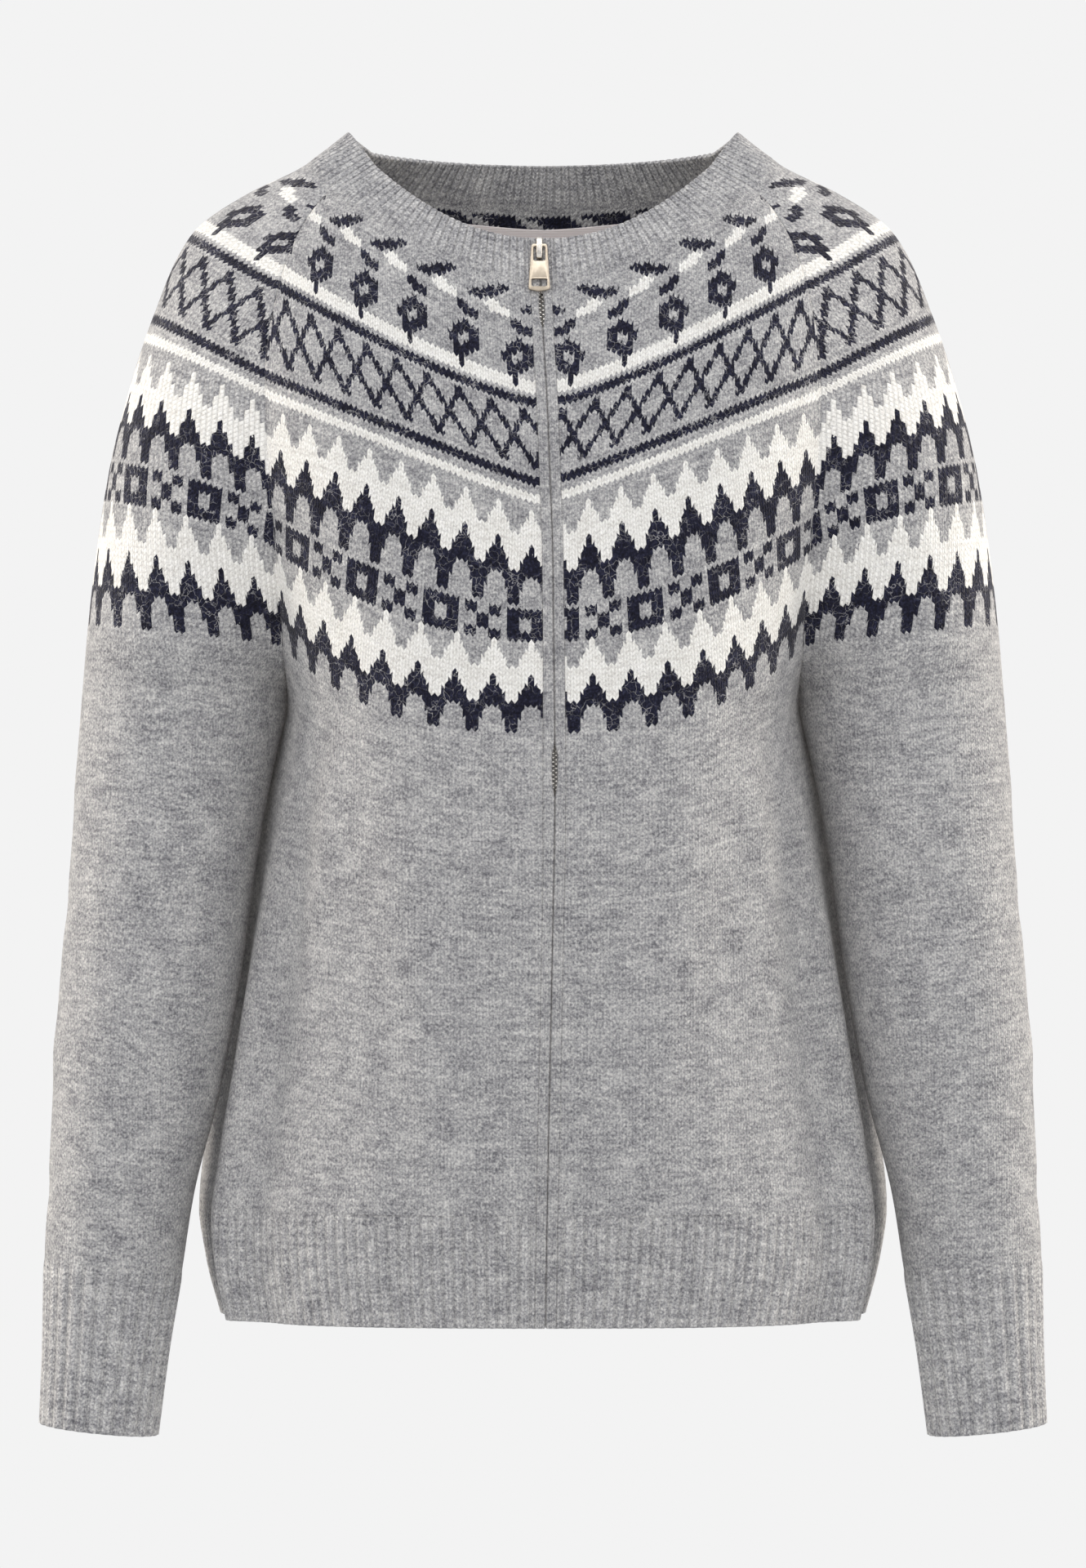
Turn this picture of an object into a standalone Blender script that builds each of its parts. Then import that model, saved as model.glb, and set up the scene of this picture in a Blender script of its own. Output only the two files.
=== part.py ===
"""A zip cardigan with a patterned yoke, hollow as it is when it is worn.

The cloth is a knitted wall round three tubes, the body and two raglan sleeves,
which run together in a round yoke. Every course of knitting is a ring: it goes
from the centre front over the raglan seam, round the outside of the sleeve,
over the back raglan seam to the centre back. The tables below give one row for
each main course, in millimetres. Left and right are the wearer's. The fronts
face -Y, +X is the wearer's left, and the origin lies between the two highest
points of the neck.
"""
import math

import bmesh
import bpy
import numpy as np
from mathutils import Matrix, Vector

MM = 0.001
SIDES = {"right": -1.0, "left": 1.0}

# Cloth and seams
CLOTH_WALL = 2.6
BAND_WALL = 2.0
SEAM_GAP = 0.3

# Levels are millimetres of cloth below the neck seam: down the centre front for the
# body, down the outside of the arm for a sleeve.
NECK_TOP = -26.0
UNDERARM = 249.0
RIB_TOP = 466.0
HEM = 523.0
CUFF_TOP = 533.0
CUFF_END = 616.0

# Centre front and centre back of each course: place, how late the course rises
# towards the seam (bow), and the fullness of its curve against its chord.
CENTRE_COLUMNS = ("level", "y", "z", "bow", "fullness")
CENTRE_FRONT = (
    (-26.0, -79.0, -61.0, 2.1, 1.10),
    (0.0, -88.0, -87.5, 1.35, 1.10),
    (54.0, -103.0, -143.0, 1.35, 1.10),
    (97.0, -112.0, -185.5, 1.1, 1.12),
    (127.0, -117.0, -216.0, 1.1, 1.15),
    (165.0, -121.0, -254.5, 1.8, 1.18),
    (219.0, -124.0, -308.5, 2.8, 1.30),
    (249.0, -125.0, -338.0, 2.7, 1.50),
    (275.0, -125.0, -362.0, 2.6, 1.50),
    (335.0, -122.0, -420.0, 2.3, 1.42),
    (395.0, -118.0, -480.0, 2.0, 1.36),
    (440.0, -115.0, -524.0, 2.0, 1.36),
    (466.0, -112.0, -550.0, 2.0, 1.40),
    (523.0, -107.0, -606.5, 2.0, 1.44),
)
CENTRE_BACK = (
    (-26.0, 58.0, -12.0, 1.6, 1.10),
    (0.0, 63.0, -35.5, 1.4, 1.10),
    (54.0, 82.0, -86.0, 1.3, 1.10),
    (97.0, 91.0, -128.0, 1.2, 1.12),
    (127.0, 95.0, -159.0, 1.2, 1.15),
    (165.0, 98.0, -199.0, 1.5, 1.20),
    (219.0, 99.0, -255.0, 2.0, 1.28),
    (249.0, 99.0, -290.0, 2.0, 1.56),
    (275.0, 98.0, -318.0, 2.0, 1.50),
    (335.0, 94.0, -391.0, 2.0, 1.50),
    (395.0, 91.0, -465.0, 2.0, 1.45),
    (440.0, 92.0, -518.0, 2.0, 1.46),
    (466.0, 93.0, -550.0, 2.0, 1.46),
    (523.0, 91.0, -607.0, 2.0, 1.46),
)

# Raglan seams, then the side seam below the arm. body_turn and arm_turn are the
# directions of the course as it reaches and leaves the seam, in degrees from
# straight out towards the back. lap is 1 where the two walls lie face to face.
SEAM_COLUMNS = ("level", "x", "y", "z", "body_turn", "arm_turn", "lap")
FRONT_RAGLAN = (
    (-26.0, 85.0, -36.0, -21.0, 55.0, 55.0, 0.0),
    (0.0, 109.0, -45.0, -35.5, 50.0, 50.0, 0.0),
    (54.0, 132.0, -68.0, -82.0, 42.0, 42.0, 0.0),
    (97.0, 139.0, -80.0, -129.0, 42.0, 28.0, 0.0),
    (127.0, 138.0, -82.0, -162.0, 46.0, 12.0, 0.0),
    (165.0, 134.5, -76.0, -207.0, 54.0, -6.0, 0.0),
    (219.0, 131.5, -50.0, -264.0, 70.0, -36.0, 0.2),
)
BACK_RAGLAN = (
    (-26.0, 88.0, 33.0, -8.0, 55.0, 55.0, 0.0),
    (0.0, 105.0, 41.0, -24.0, 50.0, 50.0, 0.0),
    (54.0, 128.0, 60.0, -68.0, 42.0, 42.0, 0.0),
    (97.0, 136.0, 64.0, -116.0, 42.0, 28.0, 0.0),
    (127.0, 137.0, 62.0, -152.0, 46.0, 12.0, 0.0),
    (165.0, 134.0, 50.0, -199.0, 54.0, -6.0, 0.0),
    (219.0, 131.5, 26.0, -258.0, 66.0, -36.0, 0.2),
)
SIDE_SEAM = (
    (249.0, 131.0, -10.0, -294.0, 84.0, -88.0, 1.0),
    (258.0, 132.4, -5.0, -306.0, 84.0, -90.0, 1.0),
    (275.0, 138.6, 6.0, -328.0, 82.0, -90.0, 1.0),
    (335.0, 153.8, 22.0, -400.0, 80.0, -90.0, 1.0),
    (395.0, 165.8, 28.0, -470.0, 80.0, -90.0, 1.0),
    (440.0, 174.0, 28.0, -521.0, 81.0, -90.0, 1.0),
    (466.0, 176.7, 24.0, -550.0, 83.0, -90.0, 1.0),
    (494.0, 172.5, 16.0, -579.0, 86.0, -90.0, 1.0),
    (523.0, 164.8, 11.0, -607.0, 88.0, -90.0, 1.0),
)

# Outside of the shoulder and arm, and how full the sleeve's curve is.
OUTER_COLUMNS = ("level", "x", "y", "z", "bow", "fullness")
OUTER_ARM = (
    (-26.0, 99.0, 1.0, -1.0, 1.0, 1.05),
    (0.0, 121.0, 1.0, -18.0, 1.0, 1.05),
    (27.0, 152.5, 0.5, -33.5, 1.1, 1.06),
    (54.0, 179.2, 0.0, -53.0, 1.1, 1.10),
    (97.0, 199.2, -5.0, -96.5, 1.0, 1.15),
    (127.0, 210.5, -8.0, -132.0, 0.8, 1.22),
    (165.0, 221.5, -11.0, -177.5, 0.62, 1.32),
    (219.0, 231.5, -14.0, -253.0, 0.8, 1.55),
    (249.0, 234.5, -15.0, -288.5, 1.0, 1.86),
    (280.0, 237.0, -16.0, -322.0, 1.0, 1.90),
    (320.0, 239.4, -17.0, -361.0, 1.0, 1.90),
    (380.0, 244.5, -18.0, -420.0, 1.0, 1.90),
    (440.0, 248.6, -19.0, -481.0, 1.0, 1.92),
    (495.0, 251.5, -20.0, -537.0, 1.0, 1.92),
    (533.0, 253.4, -21.0, -576.5, 1.0, 1.90),
    (575.0, 254.1, -21.0, -618.5, 1.0, 1.90),
    (616.0, 255.7, -22.0, -661.5, 1.0, 1.90),
)
# Inner side of the arm, from the underarm point to the cuff's edge.
INNER_COLUMNS = ("level", "x", "y", "z")
INNER_ARM = (
    (249.0, 131.0, -10.0, -294.0),
    (258.0, 136.2, -10.5, -303.0),
    (280.0, 141.3, -12.0, -330.0),
    (320.0, 147.4, -14.0, -370.0),
    (380.0, 155.4, -16.0, -430.0),
    (440.0, 166.0, -18.0, -490.0),
    (495.0, 179.9, -20.0, -545.0),
    (533.0, 185.8, -21.0, -583.0),
    (575.0, 192.8, -21.0, -625.0),
    (616.0, 198.3, -22.0, -667.5),
)

# The zip's line wanders a little across the front.
ZIP_COLUMNS = ("level", "x")
ZIP_LINE = (
    (-26.0, -2.0),
    (0.0, -1.0),
    (20.0, 0.0),
    (54.0, 2.0),
    (97.0, 3.6),
    (130.0, 4.8),
    (165.0, 5.2),
    (219.0, 5.8),
    (250.0, 5.9),
    (340.0, 4.5),
    (440.0, 2.5),
    (523.0, 1.2),
)

# The soft upright fold where each front turns to the side, and the hollows beside it.
# Columns: place along the course from the centre (0) to the side seam (1), width
# there, height over the cloth, the level it starts at and the level it is full by.
SIDE_FOLDS = (
    (0.80, 0.055, 3.5, 270.0, 400.0),
    (0.90, 0.045, -4.0, 270.0, 400.0),
    (0.62, 0.070, -1.5, 250.0, 360.0),
)

# Levels of the faceted walls: the three tubes share those of the yoke.
NECK_LEVELS = (NECK_TOP, -13.0, 0.0)
YOKE_LEVELS = (0.0, 18.0, 36.0, 54.0, 75.0, 97.0, 127.0, 146.0, 165.0, 192.0, 219.0, 235.0)
YOKE_LEVELS += (UNDERARM,)
BODY_LEVELS = (258.0, 275.0, 305.0, 335.0, 365.0, 395.0, 420.0, 440.0, RIB_TOP)
SLEEVE_LEVELS = (258.0, 280.0, 320.0, 360.0, 400.0, 440.0, 470.0, 495.0, 515.0, CUFF_TOP)
RIB_LEVELS = (RIB_TOP, 480.0, 500.0, HEM)
CUFF_LEVELS = (CUFF_TOP, 560.0, 590.0, CUFF_END)
FRONT_COLUMNS = 9
BACK_COLUMNS = 18
SLEEVE_COLUMNS = 14
ARC_STEPS = 96
SLOPE_STEP = 0.5
LAP_FADE = 9.0

# Both faces are worked out as if they were fronts, and a back is turned round.
TO_BACK = {"front": 1.0, "back": -1.0}

# Edge bands, from the zip's line: they part above BAND_OPEN, to let the slider's
# bridge through, and nearly meet below BAND_CLOSED. The panels start at PANEL_EDGE.
EDGE_GAP = 0.6
SLIDER_EDGE_GAP = 1.9
BAND_OPEN = -16.0
BAND_CLOSED = -11.0
BAND_EDGE = 5.0
PANEL_EDGE = 5.3

# Zip: a tape's stations are its place out from the zip's line and its depth, which
# is counted from the middle of the cloth and is negative behind it.
TAPE_STATIONS = ((2.5, -3.2), (5.5, -2.8), (8.0, -2.3), (14.0, -2.3))
TAPE_TOP = -24.5
TAPE_WALL = 0.8
CHAIN_WIDTH = 4.4
CHAIN_DEPTH = -3.2
CHAIN_WALL = 1.8
CHAIN_TOP = -19.0
CHAIN_END = 513.6
BOX_LEVELS = (514.0, 522.0)
BOX_WIDTH = 7.2
BOX_DEPTH = -2.6
BOX_WALL = 2.6

# Slider and pull, in a frame of their own: ranges run down the zip or out of the
# cloth from the slider's middle, and the pull's run down from its pivot.
SLIDER_LEVEL = -21.7
PLATE_WIDTH = 8.0
PLATE_TOP = -5.0
PLATE_END = 5.6
FRONT_PLATE = (-2.0, -1.2)
BACK_PLATE = (-5.2, -4.4)
POST_WIDTH = 2.4
POST_END = 2.2
BRIDGE_WIDTH = 3.0
BRIDGE_ENDS = (-5.4, 4.4)
BRIDGE_HOLE = (-1.4, 2.6)
BRIDGE_HOLE_OUT = (1.3, 3.7)
BRIDGE_OUT = 4.7
PIVOT_OUT = 2.5
TAB_WALL = 1.4
TAB_TOP = -0.75
TAB_END = 21.4
TAB_POINT = 22.4
TAB_HALF_TOP = 3.8
TAB_HALF_END = 5.5
TAB_SLOT = (0.75, 6.0, 3.0)
TAB_HOLE = (15.6, 19.8, 4.0)

# Label inside the back neck
LABEL_WIDTH = 84.0
LABEL_LEVELS = (9.5, 44.0)
LABEL_DEPTH = 2.2
LABEL_WALL = 0.5
LABEL_STEPS = 10
LABEL_ROWS = 3

GREY = (0.36, 0.36, 0.365)
NAVY = (0.018, 0.019, 0.035)
PINK = (0.75, 0.60, 0.60)
TAPE_GREY = (0.30, 0.30, 0.31)
NICKEL = (0.62, 0.58, 0.52)


def clear_scene():
    for old in list(bpy.data.objects):
        bpy.data.objects.remove(old, do_unlink=True)


def cloth_material(name, colour):
    made = bpy.data.materials.new(name)
    made.use_nodes = True
    shader = made.node_tree.nodes["Principled BSDF"]
    shader.inputs["Base Color"].default_value = (*colour, 1.0)
    shader.inputs["Roughness"].default_value = 0.92
    return made


def metal_material(name, colour):
    made = bpy.data.materials.new(name)
    made.use_nodes = True
    shader = made.node_tree.nodes["Principled BSDF"]
    shader.inputs["Base Color"].default_value = (*colour, 1.0)
    shader.inputs["Metallic"].default_value = 1.0
    shader.inputs["Roughness"].default_value = 0.28
    return made


def unit(vectors):
    return vectors / np.maximum(np.linalg.norm(vectors, axis=-1, keepdims=True), 1e-9)


def curve_slopes(at, values):
    """Slopes of the smooth curve that never overshoots between the given points."""
    steps = np.diff(at)
    rise = np.diff(values) / steps
    slopes = np.zeros(len(at))
    for i in range(1, len(at) - 1):
        before, after = rise[i - 1], rise[i]
        if before * after > 0:
            w_before = 2 * steps[i] + steps[i - 1]
            w_after = steps[i] + 2 * steps[i - 1]
            slopes[i] = (w_before + w_after) / (w_before / before + w_after / after)
    slopes[0] = rise[0]
    slopes[-1] = rise[-1]
    return slopes


def make_curves(table, columns):
    """One smooth function of the level for each named column of a table."""
    rows = np.array(table)
    at = rows[:, 0]
    curves = {}
    for place, name in enumerate(columns[1:], start=1):
        curves[name] = (at, rows[:, place], curve_slopes(at, rows[:, place]))
    return curves


def read(curves, name, level):
    """The value of one column at a level."""
    at, values, slopes = curves[name]
    level = min(max(level, at[0]), at[-1])
    i = min(int(np.searchsorted(at, level, side="right")) - 1, len(at) - 2)
    step = at[i + 1] - at[i]
    t = (level - at[i]) / step
    start = (1 + 2 * t) * (1 - t) ** 2 * values[i] + t * (1 - t) ** 2 * step * slopes[i]
    end = t * t * (3 - 2 * t) * values[i + 1] + t * t * (t - 1) * step * slopes[i + 1]
    return start + end


CENTRES = {
    "front": make_curves(CENTRE_FRONT, CENTRE_COLUMNS),
    "back": make_curves(CENTRE_BACK, CENTRE_COLUMNS),
}
SEAMS = {
    "front": make_curves(FRONT_RAGLAN + SIDE_SEAM, SEAM_COLUMNS),
    "back": make_curves(BACK_RAGLAN + SIDE_SEAM, SEAM_COLUMNS),
}
OUTER = make_curves(OUTER_ARM, OUTER_COLUMNS)
INNER = make_curves(INNER_ARM, INNER_COLUMNS)
ZIP = make_curves(ZIP_LINE, ZIP_COLUMNS)


def lap_shift(face, level):
    """Half the distance between the two walls where they lie face to face."""
    lap = read(SEAMS[face], "lap", min(level, UNDERARM))
    fade = min(max(1 - (level - UNDERARM) / LAP_FADE, 0.0), 1.0)
    return 0.5 * lap * fade * (CLOTH_WALL + SEAM_GAP)


def swept(start, start_turn, end, end_turn, fullness):
    """Plan points of a smooth arc from start to end, turning as the angles say."""
    t = np.linspace(0.0, 1.0, ARC_STEPS + 1)
    reach = fullness * math.dist(start, end)
    leave = t * (1 - t) ** 2 * reach
    arrive = t * t * (t - 1) * reach
    from_end = t * t * (3 - 2 * t)
    plan = []
    for axis, part in ((0, math.cos), (1, math.sin)):
        straight = (1 - from_end) * start[axis] + from_end * end[axis]
        turning = leave * part(math.radians(start_turn)) + arrive * part(math.radians(end_turn))
        plan.append(straight + turning)
    return plan


def body_arc(face, level):
    """Half a course of the body, from the centre out to the seam, on the +X side."""
    centre = CENTRES[face]
    seam = SEAMS[face]
    to_back = TO_BACK[face]
    seam_x = read(seam, "x", level) - lap_shift(face, level)
    middle = (0.0, read(centre, "y", level) * to_back)
    end = (seam_x, read(seam, "y", level) * to_back)
    x, y = swept(middle, 0.0, end, read(seam, "body_turn", level), read(centre, "fullness", level))
    share = np.clip(x / seam_x, 0.0, 1.0) ** read(centre, "bow", level)
    middle_z = read(centre, "z", level)
    z = middle_z + (read(seam, "z", level) - middle_z) * share
    points = np.stack([x, y * to_back, z], 1)
    return with_folds(points, level) if face == "front" else points


def with_folds(points, level):
    """Lifts the side folds of a front out of its course."""
    along = np.linspace(0.0, 1.0, len(points))
    lift = np.zeros(len(points))
    for place, width, height, starts, full in SIDE_FOLDS:
        strength = min(max((level - starts) / (full - starts), 0.0), 1.0)
        lift += height * strength * np.exp(-(((along - place) / width) ** 2))
    course = unit(np.gradient(points[:, :2], axis=0))
    points[:, 0] += lift * course[:, 1]
    points[:, 1] -= lift * course[:, 0]
    return points


def sleeve_arc(face, level):
    """Half a course of the sleeve, from its seam to the outside of the arm, at +X."""
    to_back = TO_BACK[face]
    upper = level <= UNDERARM
    curves = SEAMS[face] if upper else INNER
    start = [read(curves, name, level) for name in ("x", "y", "z")]
    start[0] += lap_shift(face, level)
    turn = read(curves, "arm_turn", level) if upper else -90.0
    out = [read(OUTER, name, level) for name in ("x", "y", "z")]
    near = (start[0], start[1] * to_back)
    far = (out[0], out[1] * to_back)
    x, y = swept(near, turn, far, 90.0, read(OUTER, "fullness", level))
    share = np.clip((x - near[0]) / (far[0] - near[0]), 0.0, 1.0) ** read(OUTER, "bow", level)
    z = start[2] + (out[2] - start[2]) * share
    return np.stack([x, y * to_back, z], 1)


def spread(points, columns, trim_start, trim_end):
    """The arc at even steps, cut a little short of its ends."""
    lengths = np.linalg.norm(np.diff(points, axis=0), axis=1)
    along = np.concatenate([[0.0], np.cumsum(lengths)])
    wanted = np.linspace(trim_start, along[-1] - trim_end, columns + 1)
    return np.stack([np.interp(wanted, along, points[:, axis]) for axis in range(3)], 1)


def from_edge(points, edge_x):
    """The part of a front's course that lies beyond its centre edge."""
    share = np.interp(edge_x, points[:, 0], np.arange(len(points)))
    first = int(share)
    lead = points[first] + (points[first + 1] - points[first]) * (share - first)
    return np.vstack([lead, points[first + 1 :]])


def front_row(side, level):
    edge_x = PANEL_EDGE + SIDES[side] * read(ZIP, "x", level)
    points = from_edge(body_arc("front", level), edge_x)
    return spread(points, FRONT_COLUMNS, 0.0, 0.5 * SEAM_GAP) * (SIDES[side], 1.0, 1.0)


def back_row(level):
    half = body_arc("back", level)
    whole = np.vstack([half[::-1] * (-1.0, 1.0, 1.0), half[1:]])
    return spread(whole, BACK_COLUMNS, 0.5 * SEAM_GAP, 0.5 * SEAM_GAP)


def sleeve_row(side, level):
    whole = np.vstack([sleeve_arc("front", level), sleeve_arc("back", level)[::-1][1:]])
    return spread(whole, SLEEVE_COLUMNS, 0.5 * SEAM_GAP, 0.5 * SEAM_GAP) * (SIDES[side], 1.0, 1.0)


def out_of_cloth(row_at, level, outward):
    """Which way is out of the cloth at each point of a course."""
    along = np.gradient(row_at(level), axis=0)
    down = row_at(level + SLOPE_STEP) - row_at(level - SLOPE_STEP)
    return unit(np.cross(along, down)) * outward


def front_ways(side, level):
    return out_of_cloth(lambda at: front_row(side, at), level, -SIDES[side])


def back_ways(level):
    return out_of_cloth(back_row, level, 1.0)


def sleeve_ways(side, level):
    return out_of_cloth(lambda at: sleeve_row(side, at), level, -SIDES[side])


def at_raglan(own, other, face, level):
    """Out of the cloth at a raglan seam: shared edge to edge, a wall's own where it laps."""
    lap = read(SEAMS[face], "lap", level)
    return unit((own + other) * (1 - lap) + own * lap)


def front_out(side, level):
    ways = front_ways(side, level)
    if level < UNDERARM:
        ways[-1] = at_raglan(ways[-1], sleeve_ways(side, level)[0], "front", level)
    else:
        ways[-1] = (SIDES[side], 0.0, 0.0)
    return ways


def back_out(level):
    ways = back_ways(level)
    for side, end in (("right", 0), ("left", -1)):
        if level < UNDERARM:
            ways[end] = at_raglan(ways[end], sleeve_ways(side, level)[-1], "back", level)
        else:
            ways[end] = (SIDES[side], 0.0, 0.0)
    return ways


def sleeve_out(side, level):
    ways = sleeve_ways(side, level)
    if level >= UNDERARM:
        ways[0] = (-SIDES[side], 0.0, 0.0)
        ways[-1] = (-SIDES[side], 0.0, 0.0)
        return ways
    back_end = -1 if side == "left" else 0
    ways[0] = at_raglan(ways[0], front_ways(side, level)[-1], "front", level)
    ways[-1] = at_raglan(ways[-1], back_ways(level)[back_end], "back", level)
    return ways


def body_ring(level, front, back):
    """Fronts and back of one course, from one edge of the zip to the other."""
    return np.vstack([front("right", level), back(level)[1:-1], front("left", level)[::-1]])


def neck_ring(level, front, back, sleeve):
    """The whole course at the neck, over both shoulders."""
    over_right = sleeve("right", level)[1:-1]
    over_left = sleeve("left", level)[1:-1]
    right, left = front("right", level), front("left", level)
    return np.vstack([right, over_right, back(level), over_left[::-1], left[::-1]])


def trimmed(levels, trim_start=True, trim_end=True):
    """Levels of a piece, half a seam gap short of its first and last course."""
    levels = list(levels)
    levels[0] += 0.5 * SEAM_GAP * trim_start
    levels[-1] -= 0.5 * SEAM_GAP * trim_end
    return levels


def cloth_wall(name, rows, ways, wall, material):
    """A closed wall of cloth: a grid on the rows, with its thickness half to each side."""
    rows = np.array(rows)
    ways = np.array(ways)
    last_row, last_column = rows.shape[0] - 1, rows.shape[1] - 1
    mesh = bmesh.new()
    row_layer = mesh.verts.layers.int.new("row")
    column_layer = mesh.verts.layers.int.new("column")
    bmesh.ops.create_grid(mesh, x_segments=last_column, y_segments=last_row, size=0.5)
    for vertex in mesh.verts:
        vertex[row_layer] = round((vertex.co.y + 0.5) * last_row)
        vertex[column_layer] = round((vertex.co.x + 0.5) * last_column)
    inner = list(mesh.verts)
    raised = bmesh.ops.extrude_face_region(mesh, geom=mesh.faces[:], use_keep_orig=True)
    outer = [item for item in raised["geom"] if isinstance(item, bmesh.types.BMVert)]
    for vertices, half in ((inner, -0.5 * wall), (outer, 0.5 * wall)):
        for vertex in vertices:
            place = (vertex[row_layer], vertex[column_layer])
            vertex.co = rows[place] + ways[place] * half
    return finish(name, mesh, material)


def finish(name, mesh, material, frame=None):
    """Makes an object of a mesh in millimetres, standing in its own frame if it has one."""
    bmesh.ops.recalc_face_normals(mesh, faces=mesh.faces[:])
    bmesh.ops.scale(mesh, vec=(MM, MM, MM), verts=mesh.verts[:])
    data = bpy.data.meshes.new(name)
    mesh.to_mesh(data)
    mesh.free()
    data.materials.append(material)
    made = bpy.data.objects.new(name, data)
    bpy.context.collection.objects.link(made)
    if frame is not None:
        made.matrix_world = frame
    return made


def make_body(material):
    levels = trimmed(YOKE_LEVELS + BODY_LEVELS)
    for side in SIDES:
        rows = [front_row(side, level) for level in levels]
        ways = [front_out(side, level) for level in levels]
        cloth_wall("front_" + side, rows, ways, CLOTH_WALL, material)
    rows = [back_row(level) for level in levels]
    ways = [back_out(level) for level in levels]
    cloth_wall("back", rows, ways, CLOTH_WALL, material)


def make_sleeves(material):
    levels = trimmed(YOKE_LEVELS + SLEEVE_LEVELS)
    cuff = trimmed(CUFF_LEVELS, trim_end=False)
    for side in SIDES:
        for name, at in (("sleeve_", levels), ("cuff_", cuff)):
            rows = [sleeve_row(side, level) for level in at]
            ways = [sleeve_out(side, level) for level in at]
            cloth_wall(name + side, rows, ways, CLOTH_WALL, material)


def make_ribs(material):
    levels = trimmed(RIB_LEVELS, trim_end=False)
    rows = [body_ring(level, front_row, back_row) for level in levels]
    ways = [body_ring(level, front_out, back_out) for level in levels]
    cloth_wall("hem_rib", rows, ways, CLOTH_WALL, material)
    levels = trimmed(NECK_LEVELS, trim_start=False)
    rows = [neck_ring(level, front_row, back_row, sleeve_row) for level in levels]
    ways = [neck_ring(level, front_out, back_out, sleeve_out) for level in levels]
    cloth_wall("neckband", rows, ways, CLOTH_WALL, material)


def body_point(face, level, x):
    """A point of the middle of the cloth, x from the middle plane."""
    arc = body_arc(face, level)
    y = np.interp(abs(x), arc[:, 0], arc[:, 1])
    z = np.interp(abs(x), arc[:, 0], arc[:, 2])
    return np.array([x, y, z])


def body_way(face, level, x):
    """Out of the cloth at body_point, and down along the cloth there."""
    across = body_point(face, level, x + 1.0) - body_point(face, level, x - 1.0)
    down = body_point(face, level + SLOPE_STEP, x) - body_point(face, level - SLOPE_STEP, x)
    out = np.cross(down, across) * TO_BACK[face]
    return unit(out), unit(down)


def lying_strip(name, face, levels, stations, wall, material):
    """A strip on the cloth: at each level its stations give place across and depth."""
    rows, ways = [], []
    for level in levels:
        points, outs = [], []
        for x, depth in stations(level):
            out, _ = body_way(face, level, x)
            points.append(body_point(face, level, x) + out * depth)
            outs.append(out)
        rows.append(points)
        ways.append(outs)
    return cloth_wall(name, rows, ways, wall, material)


def beside_zip(side, stations):
    """Stations measured out from the zip's line on one side."""
    def at(level):
        line = read(ZIP, "x", level)
        return [(line + SIDES[side] * across, depth) for across, depth in stations(level)]

    return at


def band_stations(level):
    open_share = min(max((BAND_CLOSED - level) / (BAND_CLOSED - BAND_OPEN), 0.0), 1.0)
    near = EDGE_GAP + (SLIDER_EDGE_GAP - EDGE_GAP) * open_share
    return [(near, 0.0), (BAND_EDGE, 0.0)]


def make_edge_bands(material):
    levels = (NECK_TOP, BAND_OPEN, BAND_CLOSED) + YOKE_LEVELS + BODY_LEVELS + RIB_LEVELS[1:]
    for side in SIDES:
        stations = beside_zip(side, band_stations)
        lying_strip("edge_band_" + side, "front", levels, stations, BAND_WALL, material)


def make_zip(tape, teeth, metal):
    levels = YOKE_LEVELS + BODY_LEVELS + (RIB_LEVELS[1], CHAIN_END)
    for side in SIDES:
        stations = beside_zip(side, lambda level: TAPE_STATIONS)
        lying_strip("zip_tape_" + side, "front", (TAPE_TOP,) + levels, stations, TAPE_WALL, tape)
    for name, at, across, depth, wall, material in (
        ("zip_chain", (CHAIN_TOP,) + levels, CHAIN_WIDTH, CHAIN_DEPTH, CHAIN_WALL, teeth),
        ("zip_box", BOX_LEVELS, BOX_WIDTH, BOX_DEPTH, BOX_WALL, metal),
    ):
        stations = [(x, depth) for x in centred(across)]
        lying_strip(name, "front", at, beside_zip("left", lambda level: stations), wall, material)


def make_label(material):
    """A flat strip just clear of the inside of the back, under the neckband."""
    places = np.linspace(*centred(LABEL_WIDTH), LABEL_STEPS + 1)
    stations = [(x, -LABEL_DEPTH) for x in places]
    levels = np.linspace(*LABEL_LEVELS, LABEL_ROWS + 1)
    lying_strip("neck_label", "back", levels, lambda level: stations, LABEL_WALL, material)


def slider_frame(out_by):
    """Stands in the slider's place: X across, -Y out of the cloth, +Z up the zip."""
    x = float(read(ZIP, "x", SLIDER_LEVEL))
    out, down = body_way("front", SLIDER_LEVEL, x)
    place = Vector(body_point("front", SLIDER_LEVEL, x) + out * out_by) * MM
    lean = math.atan2(-down[1], -down[2])
    return Matrix.Translation(place) @ Matrix.Rotation(-lean, 4, "X")


def block(mesh, x, out, down):
    """Adds a box given by its ranges across, out of the cloth and down the zip."""
    low = Vector((x[0], -out[1], -down[1]))
    high = Vector((x[1], -out[0], -down[0]))
    made = bmesh.ops.create_cube(mesh, size=1.0)["verts"]
    bmesh.ops.scale(mesh, vec=high - low, verts=made)
    bmesh.ops.translate(mesh, vec=(low + high) / 2, verts=made)


def box_piece(name, x, out, down, material, frame):
    mesh = bmesh.new()
    block(mesh, x, out, down)
    return finish(name, mesh, material, frame)


def guide(piece):
    """Marks a shape that only cuts or joins another, so it isn't a piece itself."""
    piece.hide_render = True
    piece.display_type = "WIRE"
    return piece


def combine(piece, other, operation):
    """Adds a Boolean modifier that joins the other shape or cuts it away."""
    change = piece.modifiers.new(operation.title(), "BOOLEAN")
    change.operation = operation
    change.object = guide(other)


def centred(width):
    return (-0.5 * width, 0.5 * width)


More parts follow.
